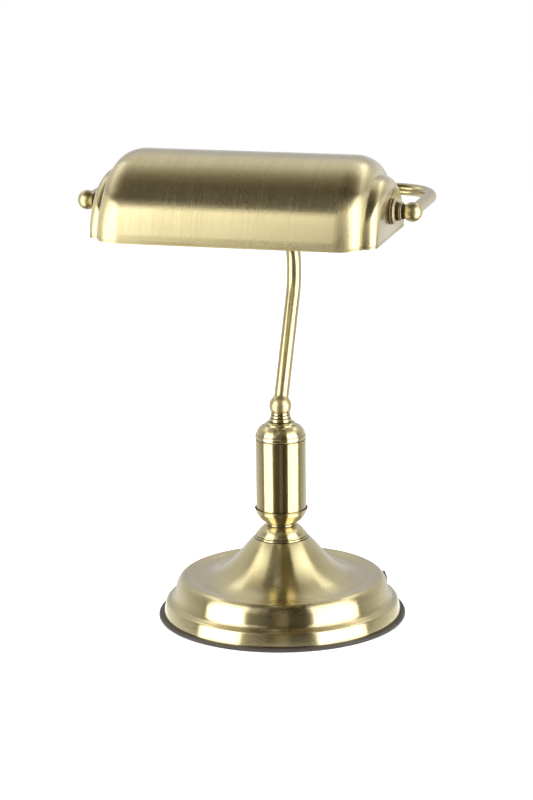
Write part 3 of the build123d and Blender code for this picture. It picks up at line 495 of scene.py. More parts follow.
# grain and clouds: fineness (along X, Y and Z where it differs), detail and roughness of the noise;
# patch: where the second tone starts and ends and its share; tone: factor or colour of the second tone;
# bump: strength and depth in millimetres; rough: one value, or the values over the grain; rest: sockets
PLAIN_FINISHES = {
    "rubber": dict(grain=(900.0, 3.0, 0.7), clouds=(60.0, 4.0, 0.6), patch=(0.4, 0.75, 0.6), tone=2.1,
                   bump=(0.25, 0.05), rough=(0.42, 0.56)),
    "fibre": dict(grain=((300.0, 1200.0, 1200.0), 3.0, 0.6), patch=(0.35, 0.7, 0.5), tone=2.5,
                  bump=(0.3, 0.04), rough=0.6, rest=dict(Specular_IOR_Level=0.25)),
    "steel": dict(grain=(420.0, 4.0, 0.65), clouds=(45.0, 3.0, 0.6), patch=(0.35, 0.7, 0.7), tone=0.72,
                  bump=(0.12, 0.03), rough=(0.26, 0.4), rest=dict(Metallic=1.0)),
    "iron": dict(grain=(700.0, 5.0, 0.7), clouds=(40.0, 4.0, 0.6), patch=(0.4, 0.7, 0.6), tone=RUST,
                 bump=(0.8, 0.25), rough=0.72, rest=dict(Metallic=0.6)),
    "felt": dict(grain=(1600.0, 5.0, 0.8), patch=(0.35, 0.7, 1.0), tone=2.4,
                 bump=(0.9, 0.3), rough=0.95, rest=dict(Sheen_Weight=0.4, Sheen_Roughness=0.6)),
    "plastic": dict(grain=(800.0, 3.0, 0.6), patch=(0.3, 0.8, 0.6), tone=1.8, bump=(0.1, 0.03), rough=0.34),
    "ceramic": dict(grain=(500.0, 3.0, 0.6), patch=(0.55, 0.75, 0.6), tone=0.8, bump=(0.06, 0.05), rough=0.2),
    "bulb_metal": dict(grain=((900.0, 60.0, 60.0), 3.0, 0.6), patch=(0.35, 0.7, 0.6), tone=WORN_METAL,
                       bump=(0.08, 0.03), rough=0.28, rest=dict(Metallic=1.0)),
    "bulb_glass": dict(grain=(30.0, 3.0, 0.6), patch=(0.4, 0.7, 0.4), tone=CLOUDED_GLASS,
                       bump=(0.04, 0.1), rough=0.3, rest=dict(Subsurface_Weight=0.2, Coat_Weight=0.3)),
}
PLAIN_FINISHES["brown_rubber"] = PLAIN_FINISHES["rubber"]
TUFTS = (260.0, 4.0, 0.7)
# share of the rubber's own colour left where shade is painted into its grooves
CREVICE_SHADE = 0.15


def make_plain(name, grain, patch, tone, bump, rough, clouds=None, rest=None):
    """A finish of one colour with a second tone in patches, a fine grain, and painted shade in the grooves of
    rubber.
    """
    finish = Finish(name)
    colour = getattr(bpy.context.scene.lamp_colours, name)
    fine = finish.noise(finish.place, *grain)
    start, end, share = patch
    share = finish.spread(finish.noise(finish.place, *clouds) if clouds else fine, start, end, 0.0, share)
    second = tone if isinstance(tone, tuple) else [min(1.0, c * tone) for c in colour]
    shade = finish.blend(share, solid(colour), solid(second))
    # painted shade: rubber turns darker where occlusion finds a groove or a neighbouring piece
    if "rubber" in name:
        shade = finish.blend(finish.occlusion_shade(1.0), shade, solid([c * CREVICE_SHADE for c in colour]))
    relief = finish.math("ADD", fine, finish.noise(finish.place, *TUFTS)) if name == "felt" else fine
    finish.bump(relief, *bump)
    if isinstance(rough, tuple):
        rough = finish.spread(fine, 0.3, 0.7, *rough)
    return finish.set(Base_Color=shade, Roughness=rough, **(rest or {}))


finishes = {}


def finish_of(name):
    """The material of that finish, made once."""
    if name not in finishes:
        finishes[name] = make_brass(name) if name in BRASSES else make_plain(name, **PLAIN_FINISHES[name])
    return finishes[name]


# ---- base -----------------------------------------------------------------------------------------

SHELL_WALL = 1.2
NECK_RADIUS = 19.0
NECK_FLARE = 1.1            # slope of the sweep under the collar, outward per millimetre down
NECK_SLOPE = 15.0           # control length of the sweep at the neck
DISH_SLOPE = 20.0           # control length of the sweep at the dish
DISH = (27.0, 27.2)         # inset from the base's radius and height, and so on down the shell
CREST = (18.1, 28.1)
TIER_TOP = (12.2, 21.1)
TIER_WALL = (11.1, 15.7)
LEDGE = (7.7, 12.2)
LEDGE_FALL = 0.1
LIP_TIER = (5.1, 10.5)
LIP_TIER_FLARE = 0.25
RING_WALL = 3.3             # rubber outside the shell
RING_WIDTH = 8.0
RING_FLOOR = 1.6
RING_LIP_TOP = 2.5
RING_ROUND = 1.1
RING_BULGE = 0.29           # of the rounding, how far its arc stands over its chord
RING_PLAY = 0.05            # between the ring's groove and the shell
FELT_PLAY = 0.2
ROD_HOLE = 5.2              # clears the clamping rod, here and in the column
OUTLET_HEIGHT = 19.6
OUTLET_AZIMUTH = radians(30.0)


def base_skin(base_radius, inset):
    """The shell from the neck down to the foot, set in from the outside by a distance."""
    wall_way = (TIER_TOP[0] - TIER_WALL[0], TIER_WALL[1] - TIER_TOP[1])
    stations = (
        ((NECK_RADIUS, high("base_shell", Z)), (NECK_FLARE, -1)),
        ((base_radius - DISH[0], DISH[1]), (1, 0)),
        ((base_radius - CREST[0], CREST[1]), (1, 0)),
        ((base_radius - TIER_TOP[0], TIER_TOP[1]), wall_way),
        ((base_radius - TIER_WALL[0], TIER_WALL[1]), wall_way),
        ((base_radius - LEDGE[0], LEDGE[1]), (1, -LEDGE_FALL)),
        ((base_radius - LIP_TIER[0], LIP_TIER[1]), (LIP_TIER_FLARE, -1)),
        ((base_radius - RING_WALL, RING_FLOOR), (0, -1)))
    points, ways = [], []
    for (radius, height), way in stations:
        way = Vector(way).normalized()
        points.append((radius + inset * way.y, height - inset * way.x))
        ways.append(way)
    neck, dish, crest, wall_top, wall_foot, ledge, lip, foot = points
    neck_pull = Vector(neck) + NECK_SLOPE * ways[0]
    dish_pull = Vector(dish) - DISH_SLOPE * ways[1]
    return joined(
        bend_through(neck, neck_pull, dish_pull, dish, 40),
        flow(dish, crest, ways[1], ways[2], steps=12),
        flow(crest, wall_top, ways[2], ways[3], (0.9, 1.3), 24),
        flow(wall_top, wall_foot, ways[3], ways[4], steps=6),
        flow(wall_foot, ledge, ways[4], ways[5], steps=14),
        flow(ledge, lip, ways[5], ways[6], (0.9, 0.9), 14),
        flow(lip, foot, ways[6], ways[7], steps=10))


def build_base(sizes):
    """The spun shell, the rubber ring under it and the felt; gives the base's radius."""
    radius = sizes.base_radius / MM
    top = high("base_shell", Z)
    crown = [(ROD_HOLE, top - SHELL_WALL), (ROD_HOLE, top)]
    outline = joined(base_skin(radius, 0.0), reversed(base_skin(radius, SHELL_WALL)), crown)
    fit_piece("spun_base", "base_shell", turned(eased(outline, 0.25, 40), 256), "brass_turned")

    groove, inner, flat = radius - RING_WALL + RING_PLAY, radius - RING_WIDTH, radius - RING_ROUND
    bulge = RING_BULGE * RING_ROUND
    outline = joined(
        [(inner, 0.0), (flat, 0.0)],
        arc((flat, 0.0), (radius, RING_ROUND), bulge, 8),
        arc((radius, RING_LIP_TOP - RING_ROUND), (flat, RING_LIP_TOP), bulge, 8),
        [(groove, RING_LIP_TOP), (groove, RING_FLOOR), (inner, RING_FLOOR)])
    fit_piece("rubber_edge_ring", "base_edge_ring", turned(eased(outline, 0.3, 40), 256), "rubber")

    rim = inner - FELT_PLAY
    outline = eased([(0.0, 0.0), (rim, 0.0), (rim, RING_FLOOR), (0.0, RING_FLOOR)], 0.4, 40)
    fit_piece("felt_disc", "felt_pad", turned(outline, 128), "felt")
    return radius


def build_outlet(radius):
    """Snap-in bush of the cable outlet, square to the leaning wall of the base."""
    run, fall = TIER_TOP[0] - TIER_WALL[0], TIER_TOP[1] - TIER_WALL[1]
    wall = radius - TIER_TOP[0] + run * (TIER_TOP[1] - OUTLET_HEIGHT) / fall
    tilt = atan2(run, fall)
    bore, barrel, flange, flange_depth, inner_depth = 2.6, 3.1, 3.9, 1.8, 1.4
    grip = SHELL_WALL + 0.4
    outline = [(bore, -grip - inner_depth), (flange, -grip - inner_depth), (flange, -grip),
               (barrel, -grip), (barrel, 0.0), (flange, 0.0), (flange, flange_depth), (bore, flange_depth)]
    points, faces = turned(eased(outline, 0.8, 40, 6), 64)
    outward = Vector((cos(OUTLET_AZIMUTH), sin(OUTLET_AZIMUTH), 0))
    normal = outward * cos(tilt) + Vector((0, 0, sin(tilt)))
    side = Vector((-outward.y, outward.x, 0))
    upward = normal.cross(side)
    origin = outward * wall + Vector((0, 0, OUTLET_HEIGHT))
    points = [origin + side * p[0] + upward * p[1] + normal * p[2] for p in points]
    fit_piece("outlet_bush", "cord_grommet", (points, faces), "rubber")


# ---- column ---------------------------------------------------------------------------------------


COLLAR_BEADS = (18.2, 17.5)     # radius of the lower and the upper bead
BEAD_HEIGHT, BEAD_ROUND = 1.5, 0.75
COLLAR_SHOULDER = 16.6
WAIST = 10.1                # where collar, ring and cup meet
CUP_CREASE = 17.45
CAP_EDGE = 0.35             # step between the cap's bead and its dome
STEM_THREAD = 5.05
RINGED_NECK = ((7.8, 2.7, 0.6), (7.0, 2.25, 0.55), (6.55, 2.25, 0.55))     # radius, height, rounding


def column_outlines(column_radius):
    """Outlines of the turned pieces from the base's neck to the stem, by frame node."""
    hole = ROD_HOLE
    base_top, collar_top = low("neck_collar", Z), high("neck_collar", Z)
    beads_middle, beads_top = base_top + BEAD_HEIGHT, base_top + 2 * BEAD_HEIGHT
    collar = joined(
        [(hole, base_top)],
        bead(COLLAR_BEADS[0], BEAD_ROUND, base_top, beads_middle),
        bead(COLLAR_BEADS[1], BEAD_ROUND, beads_middle, beads_top),
        arc((COLLAR_SHOULDER, beads_top), (WAIST, collar_top), 0.9, 16),
        [(hole, collar_top)])

    ring_top = high("neck_ring", Z)
    ring = joined([(hole, collar_top)], bead(WAIST, 0.65, collar_top, ring_top), [(hole, ring_top)])

    crease, lip_top = low("column_tube", Z), high("column_cup", Z)
    lip, edge, seat = high("column_cup", X), 0.35, column_radius + 0.1
    cup = joined(
        [(hole, ring_top)],
        arc((WAIST, ring_top), (CUP_CREASE, crease), 1.0, 16),
        arc((CUP_CREASE, crease), (lip, lip_top), -0.15, 8),
        [(lip - edge, lip_top), (seat, crease + 0.6), (seat, crease)],
        [(column_radius - 1.2, crease), (hole, ring_top + 2.0)])

    column_top = high("column_tube", Z)
    tube_outline = [(column_radius - 1.0, crease), (column_radius, crease), (column_radius, column_top),
                    (column_radius - 1.0, column_top)]

    cap_top, groove, bead_round, bead_height = high("column_cap", Z), 0.5, 0.6, 3.2
    bead_bottom = column_top + groove
    bead_top = bead_bottom + bead_height
    cap_radius = high("column_cap", X)
    spigot, spigot_foot = column_radius - 1.1, column_top - 3.0
    shoulder, notch = cap_radius - bead_round, cap_radius - bead_round - 0.3
    cap = joined(
        [(hole, spigot_foot), (spigot, spigot_foot), (spigot, column_top)],
        [(column_radius - groove, column_top), (column_radius - groove, bead_bottom)],
        bead(cap_radius, bead_round, bead_bottom, bead_top),
        [(notch, bead_top), (notch, bead_top + CAP_EDGE)],
        arc((shoulder, bead_top + CAP_EDGE), (11.3, cap_top), 1.1, 18),
        [(hole, cap_top)])

    level = high("cap_ring", Z)
    cap_ring = joined([(hole, cap_top)], arc((10.9, cap_top), (8.2, level), 0.6, 8), [(hole, level)])

    runs = [[(STEM_THREAD, level)]]
    for radius, height, soft in RINGED_NECK:
        runs.append(bead(radius, soft, level, level + height, 8))
        level += height
    runs.append([(STEM_THREAD, level)])
    return {"neck_collar": collar, "neck_ring": ring, "column_cup": cup, "column_tube": tube_outline,
            "column_cap": cap, "cap_ring": cap_ring, "stem_neck": joined(*runs)}


COLUMN_NAMES = {"neck_collar": "domed_collar", "neck_ring": "neck_bead", "column_cup": "flared_cup",
                "column_tube": "turned_column", "column_cap": "domed_cap", "cap_ring": "cap_bead",
                "stem_neck": "ringed_neck"}


def build_column(sizes):
    for node, outline in column_outlines(sizes.column_radius / MM).items():
        brass = "brass_column" if node == "column_tube" else "brass_fine"
        fit_piece(COLUMN_NAMES[node], node, turned(eased(outline, 0.12, 35), 160), brass)


# ---- stem and bail --------------------------------------------------------------------------------

STEM_LEAN = radians(27.6)
STEM_RETURN = radians(35.3)
STEM_BEND = 40.0
STEM_BALL = 7.65
STEM_BALL_FLAT = 3.9
KNUCKLE = 8.5
BAIL_BEND = 28.6
BAIL_Y = 3.4
BALL = 6.4
BALL_FLAT = 4.6
TUBE_WALL = 1.0
STEM_FOOT, STEM_HEAD = 2.6, 4.6     # where the stem's tube starts in its ball and ends in the knuckle
ARM_START = 3.2             # from the pivot's axis to the end of the bail's arm, inside the ball


def ball_outline(radius, flat, hole, steps=36):
    """Half section of a ball with a bored flat on its lower side."""
    start = asin(-flat / radius)
    sphere = []
    for k in range(steps + 1):
        turn = start + (pi / 2 - start) * k / steps
        sphere.append((max(0.0, radius * cos(turn)), radius * sin(turn)))
    return [(hole, -flat)] + sphere + [(0.0, -flat / 3), (hole, -flat / 3)]


def build_stem(sizes):
    ball_centre = high("stem_neck", Z) + STEM_BALL_FLAT
    outline = eased(ball_outline(STEM_BALL, STEM_BALL_FLAT, STEM_THREAD), 0.15, 35)
    fit_piece("stem_ball_turned", "stem_ball", moved(turned(outline, 96), 0, 0, ball_centre),
              "brass_polished")

    pivot_height = sizes.pivot_height / MM
    back, forth = tan(STEM_LEAN), tan(STEM_RETURN)
    height = (BAIL_Y + forth * pivot_height + back * ball_centre) / (back + forth)
    corner = Vector((0, back * (height - ball_centre), height))
    foot = Vector((0, 0, ball_centre)) + STEM_FOOT * Vector((0, sin(STEM_LEAN), cos(STEM_LEAN)))
    head = (Vector((0, BAIL_Y, pivot_height))
            + STEM_HEAD * Vector((0, sin(STEM_RETURN), -cos(STEM_RETURN))))
    radius = sizes.stem_radius / MM
    shape = tube(bent_path([foot, corner, head], STEM_BEND, 32), (1, 0, 0), radius, radius - TUBE_WALL, 64)
    fit_piece("bent_stem", "stem_tube", shape, "brass_drawn")


def build_bail(sizes):
    radius = sizes.bail_radius / MM
    pivot_x = high("bail_tube", X) - radius
    pivot_y, level = sizes.pivot_y / MM, sizes.pivot_height / MM
    arm_end = pivot_y + ARM_START
    corners = [(-pivot_x, arm_end, level), (-pivot_x, BAIL_Y, level), (pivot_x, BAIL_Y, level),
               (pivot_x, arm_end, level)]
    shape = tube(bent_path(corners, BAIL_BEND, 28), (0, 0, 1), radius, radius - TUBE_WALL, 64)
    fit_piece("bail_bow", "bail_tube", shape, "brass_drawn")

    sphere = ball_outline(KNUCKLE, KNUCKLE - 0.001, 0.0, 48)[1:-2]
    shape = moved(turned([(0.0, -KNUCKLE)] + sphere, 96), 0, BAIL_Y, level)
    fit_piece("bail_knuckle_ball", "bail_knuckle", shape, "brass_polished")


# ---- pivots ---------------------------------------------------------------------------------------

# node, piece, finish, slot, rounding, and the outline as (depth under the rim, share of the width)
PIVOT_RINGS = (
    ("friction_washer", "rubber_washer", "brown_rubber", "black_rubber", 0.5,
     ((0, 0), (0, 0.6), (1.3, 0.7), (1.3, 1))),
    ("friction_disc", "brass_disc", "brass_polished", "antique_brass", 0.3,
     ((0, 0), (0, 0.45), (1.7, 1))),
    ("fibre_washer", "fibre_ring", "fibre", "black_fibre", 0.3, ((0.3, 0), (0.3, 1))),
    ("spacer_ring", "brass_spacer", "brass_polished", "antique_brass", 0.4, ((0, 0), (0, 1))),
    ("neck_washer", "ribbed_neck", "fibre", "black_fibre", 0.15,
     ((0, 0), (0, 0.22), (0.5, 0.3), (0.5, 0.42), (0, 0.5), (0, 0.72), (0.5, 0.8), (0.5, 1))),
)
SPINDLE_CLEARANCE = 4.05
WIRE_HOLE = 3.05


def build_pivots(sizes):
    pivot_y, level = sizes.pivot_y / MM, sizes.pivot_height / MM
    for side, end in ((1, "right"), (-1, "left")):
        for node, title, finish, material_slot, soft, rim in PIVOT_RINGS:
            name = f"{node}_{end}"
            radius, width = span(name, Z) / 2, span(name, X)
            start = low(name, X) if side == 1 else high(name, X)
            outline = [(SPINDLE_CLEARANCE, 0.0)]
            outline += [(radius - depth, share * width) for depth, share in rim]
            outline.append((SPINDLE_CLEARANCE, width))
            shape = laid_along_x(turned(eased(outline, soft, 25, 6), 96), start, pivot_y, level, side)
            fit_piece(f"{title}_{end}", name, shape, finish)
        centre = side * (high("bail_tube", X) - sizes.bail_radius / MM)
        outline = eased(ball_outline(BALL, BALL_FLAT, WIRE_HOLE, 48), 0.15, 35)
        shape = laid_along_x(turned(outline, 96), centre, pivot_y, level, side)
        fit_piece(f"finial_ball_{end}", f"pivot_ball_{end}", shape, "brass_polished")
        dress_nodes([f"{node}_{end}" for node in ("pivot_spindle", "pivot_nut", "inner_washer")], "steel")


# ---- shade ----------------------------------------------------------------------------------------

END_TIER = 8.1              # from the step to the end plate
MAIN_ROUND = (16.9, 12.5)
TIER_ROUND = 7.4
PLATE_MARGIN = 2.0
PIVOT_BORE = 4.06
SIDE_STEPS, FOOT_STEPS = 120, 24    # points round the shade and along an end plate's foot


def quarter(x, depth, run, rise, steps):
    """Quarter of an ellipse that goes out by a run and down by a rise."""
    turns = [pi / 2 * k / steps for k in range(steps + 1)]
    return [(x + run * sin(turn), depth + rise * (1 - cos(turn))) for turn in turns]


def shade_section(half_length):
    """The outside from the middle to one end, as (x, depth under the outermost skin)."""
    step = half_length - END_TIER
    start, tier = step - MAIN_ROUND[0], half_length - TIER_ROUND
    section = [(start * k / 6, 0.0) for k in range(7)]
    section += quarter(start, 0.0, *MAIN_ROUND, 24)[1:]
    section.append((step + 0.35, MAIN_ROUND[1] + 0.12))
    section += quarter(tier, MAIN_ROUND[1], TIER_ROUND, TIER_ROUND, 16)
    section.append((half_length, MAIN_ROUND[1] + TIER_ROUND + PLATE_MARGIN))
    return section


def shade_side_points(half_depth, height, depth, steps):
    """Half ellipse in the side view set in by a depth, front edge first, as (y, z)."""
    points = []
    for k in range(steps + 1):
        turn = pi * k / steps
        y, z = -half_depth * cos(turn), height * sin(turn)
        normal = Vector((-height * cos(turn), half_depth * sin(turn))).normalized()
        points.append((y - depth * normal.x, z - depth * normal.y))
    return points


def build_shade(sizes):
    """Two skins over the same section, closed along their lower edges and by the bored end plates."""
    half_length, half_depth = sizes.shade_half_length / MM, sizes.shade_half_depth / MM
    height, wall = sizes.shade_height / MM, sizes.shade_wall / MM
    pivot_y, pivot_z = sizes.pivot_y / MM, sizes.pivot_height / MM
    bottom = low("shade_shell", Z)
    half = shade_section(half_length)
    section = [(-x, d) for x, d in reversed(half[1:])] + half
    rows, columns = len(section), SIDE_STEPS + 1
    points, faces, skins = [], [], []
    for inset in (0.0, wall):
        start = len(points)
        for x, depth in section:
            for y, z in shade_side_points(half_depth, height, depth + inset, SIDE_STEPS):
                points.append((x * (1 - inset / half_length), pivot_y + y, bottom + max(z, 0.0)))
        skins.append([range(start + i * columns, start + (i + 1) * columns) for i in range(rows)])
        for here, after in zip(skins[-1], skins[-1][1:]):
            faces += bridge(here, after, closed=False)
    for k in (0, SIDE_STEPS):
        faces += bridge(*([row[k] for row in skin] for skin in skins), closed=False)
    for end in (0, rows - 1):
        feet, bores = [], []
        for skin in skins:
            edge = list(skin[end])
            x = points[edge[0]][0]
            first, last = points[edge[0]][1], points[edge[-1]][1]
            foot = list(range(len(points), len(points) + FOOT_STEPS - 1))
            points += [(x, last + (first - last) * k / FOOT_STEPS, bottom) for k in range(1, FOOT_STEPS)]
            rim = edge + foot
            bore = list(range(len(points), len(points) + len(rim)))
            for index in rim:
                way = Vector((points[index][1] - pivot_y, points[index][2] - pivot_z)).normalized()
                points.append((x, pivot_y + way.x * PIVOT_BORE, pivot_z + way.y * PIVOT_BORE))
            faces += bridge(rim, bore)
            feet.append([edge[-1]] + foot + [edge[0]])
            bores.append(bore)
        faces += bridge(*feet, closed=False) + bridge(*bores)
    fit_piece("stepped_shade", "shade_shell", (points, faces), "brass_brushed", "shade",
              24.0)


# ---- lampholder and bulb --------------------------------------------------------------------------

HOLDER_MOUTH = 14.6
HOLDER_RIBS, RIB_START, RIB_PITCH = 5, 6.0, 3.2
THREAD_TURNS, THREAD_DEPTH, THREAD_STEPS = 4, 1.5, 8
GLASS_WALL = 1.0
GLASS_BLEND = 0.42          # radians behind the ball's middle where the bulb's throat joins it


def build_lampholder(sizes):
    dress_nodes(("socket_bracket", "bracket_screws", "bracket_nuts", "socket_nipple", "nipple_nut",
                 "lampholder_contact"), "steel")
    dress_nodes(("lampholder_insert",), "ceramic")
    pivot_y, axis_z = sizes.pivot_y / MM, middle("lampholder_body", Z)
    web, cap_length = low("lampholder_cap", X), span("lampholder_cap", X)
    radius, body_length = span("lampholder_body", Z) / 2, span("lampholder_body", X)
    nipple, floor = 5.05, 8.8
    cap = joined([(nipple, 0.0)], arc((9.0, 0.0), (radius, cap_length), 2.5, 16),
                 [(radius - 2.0, cap_length), (radius - 2.0, floor), (nipple, floor)])
    shape = laid_along_x(turned(eased(cap, 0.4, 40), 96), web, pivot_y, axis_z)
    fit_piece("lampholder_dome", "lampholder_cap", shape, "plastic", "shade")

    body = [(HOLDER_MOUTH, 0.0), (radius, 0.0), (radius, 1.2), (radius - 0.6, 1.8), (radius - 0.6, 2.6),
            (radius, 3.2)]
    for k in range(HOLDER_RIBS):
        for depth, offset in ((0.0, 0.0), (0.5, 0.5), (0.5, 1.3), (0.0, 1.8)):
            body.append((radius - depth, RIB_START + RIB_PITCH * k + offset))
    body += [(radius, body_length - 1.0), (radius - 1.0, body_length), (HOLDER_MOUTH, body_length)]
    shape = laid_along_x(turned(eased(body, 0.25, 25), 96), web + cap_length, pivot_y, axis_z)
    fit_piece("lampholder_shell", "lampholder_body", shape, "plastic", "shade")


def build_bulb(sizes):
    pivot_y, axis_z = sizes.pivot_y / MM, middle("bulb_cap", Z)
    start, cap_length, cap_radius = low("bulb_cap", X), span("bulb_cap", X), span("bulb_cap", Z) / 2
    thread = [(0.0, 0.0), (4.8, 0.0), (5.0, 0.6), (10.6, 2.6), (cap_radius - 1.6, 3.4)]
    pitch = (cap_length - 7.4) / THREAD_TURNS
    for k in range(THREAD_TURNS * THREAD_STEPS + 1):
        wave = (sin(2 * pi * k / THREAD_STEPS - pi / 2) - 1) / 2
        thread.append((cap_radius + THREAD_DEPTH * wave, 4.2 + pitch * k / THREAD_STEPS))
    skirt = cap_radius - 0.6
    thread += [(skirt, cap_length - 2.6), (skirt, cap_length), (0.0, cap_length)]
    shape = laid_along_x(turned(thread, 96), start, pivot_y, axis_z)
    fit_piece("threaded_bulb_cap", "bulb_cap", shape, "bulb_metal", "shade", 40.0)

    end = high("bulb_cap", X)
    radius = sizes.bulb_radius / MM
    centre = high("bulb_glass", X) - end - radius
    way = (sin(GLASS_BLEND), cos(GLASS_BLEND))
    outlines = []
    for inset in (0.0, GLASS_WALL):
        ball, throat = radius - inset, cap_radius - 0.2 - inset
        joint = centre - sqrt(ball * ball - throat * throat)
        blend = flow((throat, joint * 0.25), (ball * way[1], centre - ball * way[0]), (0, 1), way, steps=16)
        turns = [-GLASS_BLEND + (pi / 2 + GLASS_BLEND) * k / 40 for k in range(40)]
        sphere = [(ball * cos(t), centre + ball * sin(t)) for t in turns] + [(0.0, centre + ball)]
        outlines.append(joined([(throat, 0.0)], blend, sphere))
    shape = laid_along_x(turned(outlines[0] + outlines[1][::-1], 96), end, pivot_y, axis_z)
    fit_piece("opal_bulb", "bulb_glass", shape, "bulb_glass", "shade", 50.0)


# ---- studio ---------------------------------------------------------------------------------------

CAMERA_AZIMUTH = radians(15.16)
CAMERA_PITCH = radians(14.11)
CAMERA_ROLL = radians(-0.61)
CAMERA_DISTANCE = 1.9601
CAMERA_FOCAL_SHARE = 2884.4 / 800.0     # focal length over the frame's height
CAMERA_TARGET = (-0.0094, 0.1519)       # to the right of the column's axis, and up
SENSOR = 36.0

PALE, WARM, WHITE = (1.0, 0.99, 0.97), (1.0, 0.98, 0.96), (1.0, 1.0, 1.0)
# name, left and right azimuth from the camera's side, bottom, top, distance, radiance, colour
SOFT_BOXES = (
    ("left_soft_box", -84.0, -40.0, -0.7, 0.92, 0.8, 3.6, PALE),
    ("left_fill", -40.0, -27.0, 0.32, 1.05, 0.8, 0.5, PALE),
    ("wide_fill", -40.0, -16.0, 0.32, 1.08, 0.82, 0.42, PALE),
    ("left_high_box", -150.0, -92.0, 0.8, 1.15, 0.8, 1.2, WARM),
    ("right_soft_box", 32.5, 84.5, -0.9, 1.3, 1.0, 3.6, WHITE),
    ("right_high_box", 90.0, 150.0, 0.8, 1.15, 0.8, 1.4, WARM),
)
FLOOR_REACH, FLOOR_SIDES = (0.098, 1.7), 64

# what the brass sees round the lamp, in soft steps of (start, end, value before, value after); the angles
# are degrees from the camera's side or over the horizon
DARK = 0.05
BEHIND = (84, 98, 0.0, 1.0)
BACKDROP = (95, 140, 0.38, 0.66)
BACKDROP_FOOT = (0.0, 0.25, 1.2, 0.95)
BACKDROP_TOP = (22, 40, 1.0, 1.2)
CEILING_START = (95, 150, radians(20), radians(46))
CEILING = (0, 28, 1.0, 0.12)
BACK = (150, 172, 0.0, 1.0)
BACK_DIP = (18, 32, 0.12, 0.0)
FRONT_BANDS = (
    (((-12, -8, 0.0, 1.0), (4, 8, 1.0, 0.0)), ((14, 18, 0.0, 0.2), (36, 42, 1.0, 0.0))),
    (((-8, -6, 0.0, 0.14), (5, 7, 1.0, 0.0)), ((16, 20, 1.0, 0.0),)),
)
WARMTH, WARM_DARK, WARM_LIGHT = (0.08, 0.5, 0.0, 1.0), (1.0, 0.80, 0.55), (1.0, 0.99, 0.95)
COOL_RISE, COOL_BACK = (22, 38, 1.0, 0.0), (0.98, 0.975, 1.02)


def build_camera():
    right = Vector((cos(CAMERA_AZIMUTH), sin(CAMERA_AZIMUTH), 0))
    level = Vector((-right.y, right.x, 0))
    forward = level * cos(CAMERA_PITCH) - Vector((0, 0, sin(CAMERA_PITCH)))
    upward = right.cross(forward)
    rolled_right = right * cos(CAMERA_ROLL) + upward * sin(CAMERA_ROLL)
    rolled_up = upward * cos(CAMERA_ROLL) - right * sin(CAMERA_ROLL)
    target = right * CAMERA_TARGET[0] + Vector((0, 0, CAMERA_TARGET[1]))
    data = bpy.data.cameras.new("studio_camera")
    data.sensor_fit = "VERTICAL"
    data.sensor_height = data.sensor_width = SENSOR
    data.lens = SENSOR * CAMERA_FOCAL_SHARE
    data.clip_start, data.clip_end = 0.05, 30.0
    camera = bpy.data.objects.new("studio_camera", data)
    bpy.context.scene.collection.objects.link(camera)
    axes = Matrix((rolled_right, rolled_up, -forward)).transposed()
    camera.matrix_world = Matrix.Translation(target - forward * CAMERA_DISTANCE) @ axes.to_4x4()
    bpy.context.scene.camera = camera


def area_lamp(name, shape, width, location):
    """An area lamp at a place."""
    data = bpy.data.lights.new(name, "AREA")
    data.shape = shape
    data.size = width
    lamp = bpy.data.objects.new(name, data)
    lamp.location = location
    bpy.context.scene.collection.objects.link(lamp)
    return lamp


def soft_box(name, left, right, bottom, top, distance, radiance, tint_colour):
    """An upright rectangular lamp between two azimuths and two heights, turned to the column."""
    turn = CAMERA_AZIMUTH + radians((left + right) / 2)
    place = (sin(turn) * distance, -cos(turn) * distance, (bottom + top) / 2)
    lamp = area_lamp(name, "RECTANGLE", 2 * distance * tan(radians(right - left) / 2), place)
    lamp.data.size_y = top - bottom
    lamp.data.energy = radiance * pi * lamp.data.size * lamp.data.size_y
    lamp.data.color = tint_colour
    lamp.rotation_euler = (pi / 2, 0.0, turn)
    return lamp


def build_lights():
    boxes = {row[0]: soft_box(*row) for row in SOFT_BOXES}
    shaded = bpy.data.collections.new("shaded_from_right_box")
    for name in ("bail_bow", "bail_knuckle_ball"):
        shaded.objects.link(bpy.data.objects[name])
    for item in shaded.collection_objects:
        item.light_linking.link_state = "EXCLUDE"
    boxes["right_soft_box"].light_linking.receiver_collection = shaded
    lamp = area_lamp("floor_light", "SQUARE", 3.6, (0.0, 0.0, 2.5))
    lamp.data.energy = 150.0
    lamp.visible_glossy = False


def build_floor():
    """A sheet of pale paper, of which only the part close to the lamp shows in the brass."""
    finish = Finish("floor_paper")
    shade = finish.blend(finish.noise(finish.place, 30.0, 2.0, 0.6), solid([0.86] * 3), solid([0.88] * 3))
    paper = finish.set(Base_Color=shade, Roughness=0.9)
    rims = [[(x, y, 0) for x, y in circle(reach, FLOOR_SIDES)] for reach in FLOOR_REACH]
    near = tuple(range(FLOOR_SIDES))
    far = range(FLOOR_SIDES, 2 * FLOOR_SIDES)
    for name, points, cells, glossy in (("near_floor", rims[0], [near], True),
                                        ("studio_floor", rims[0] + rims[1], bridge(near, far), False)):
        data = bpy.data.meshes.new(name)
        data.from_pydata(points, [], cells)
        data.materials.append(paper)
        floor = bpy.data.objects.new(name, data)
        bpy.context.scene.collection.objects.link(floor)
        floor.visible_glossy = glossy
        floor.visible_shadow = False


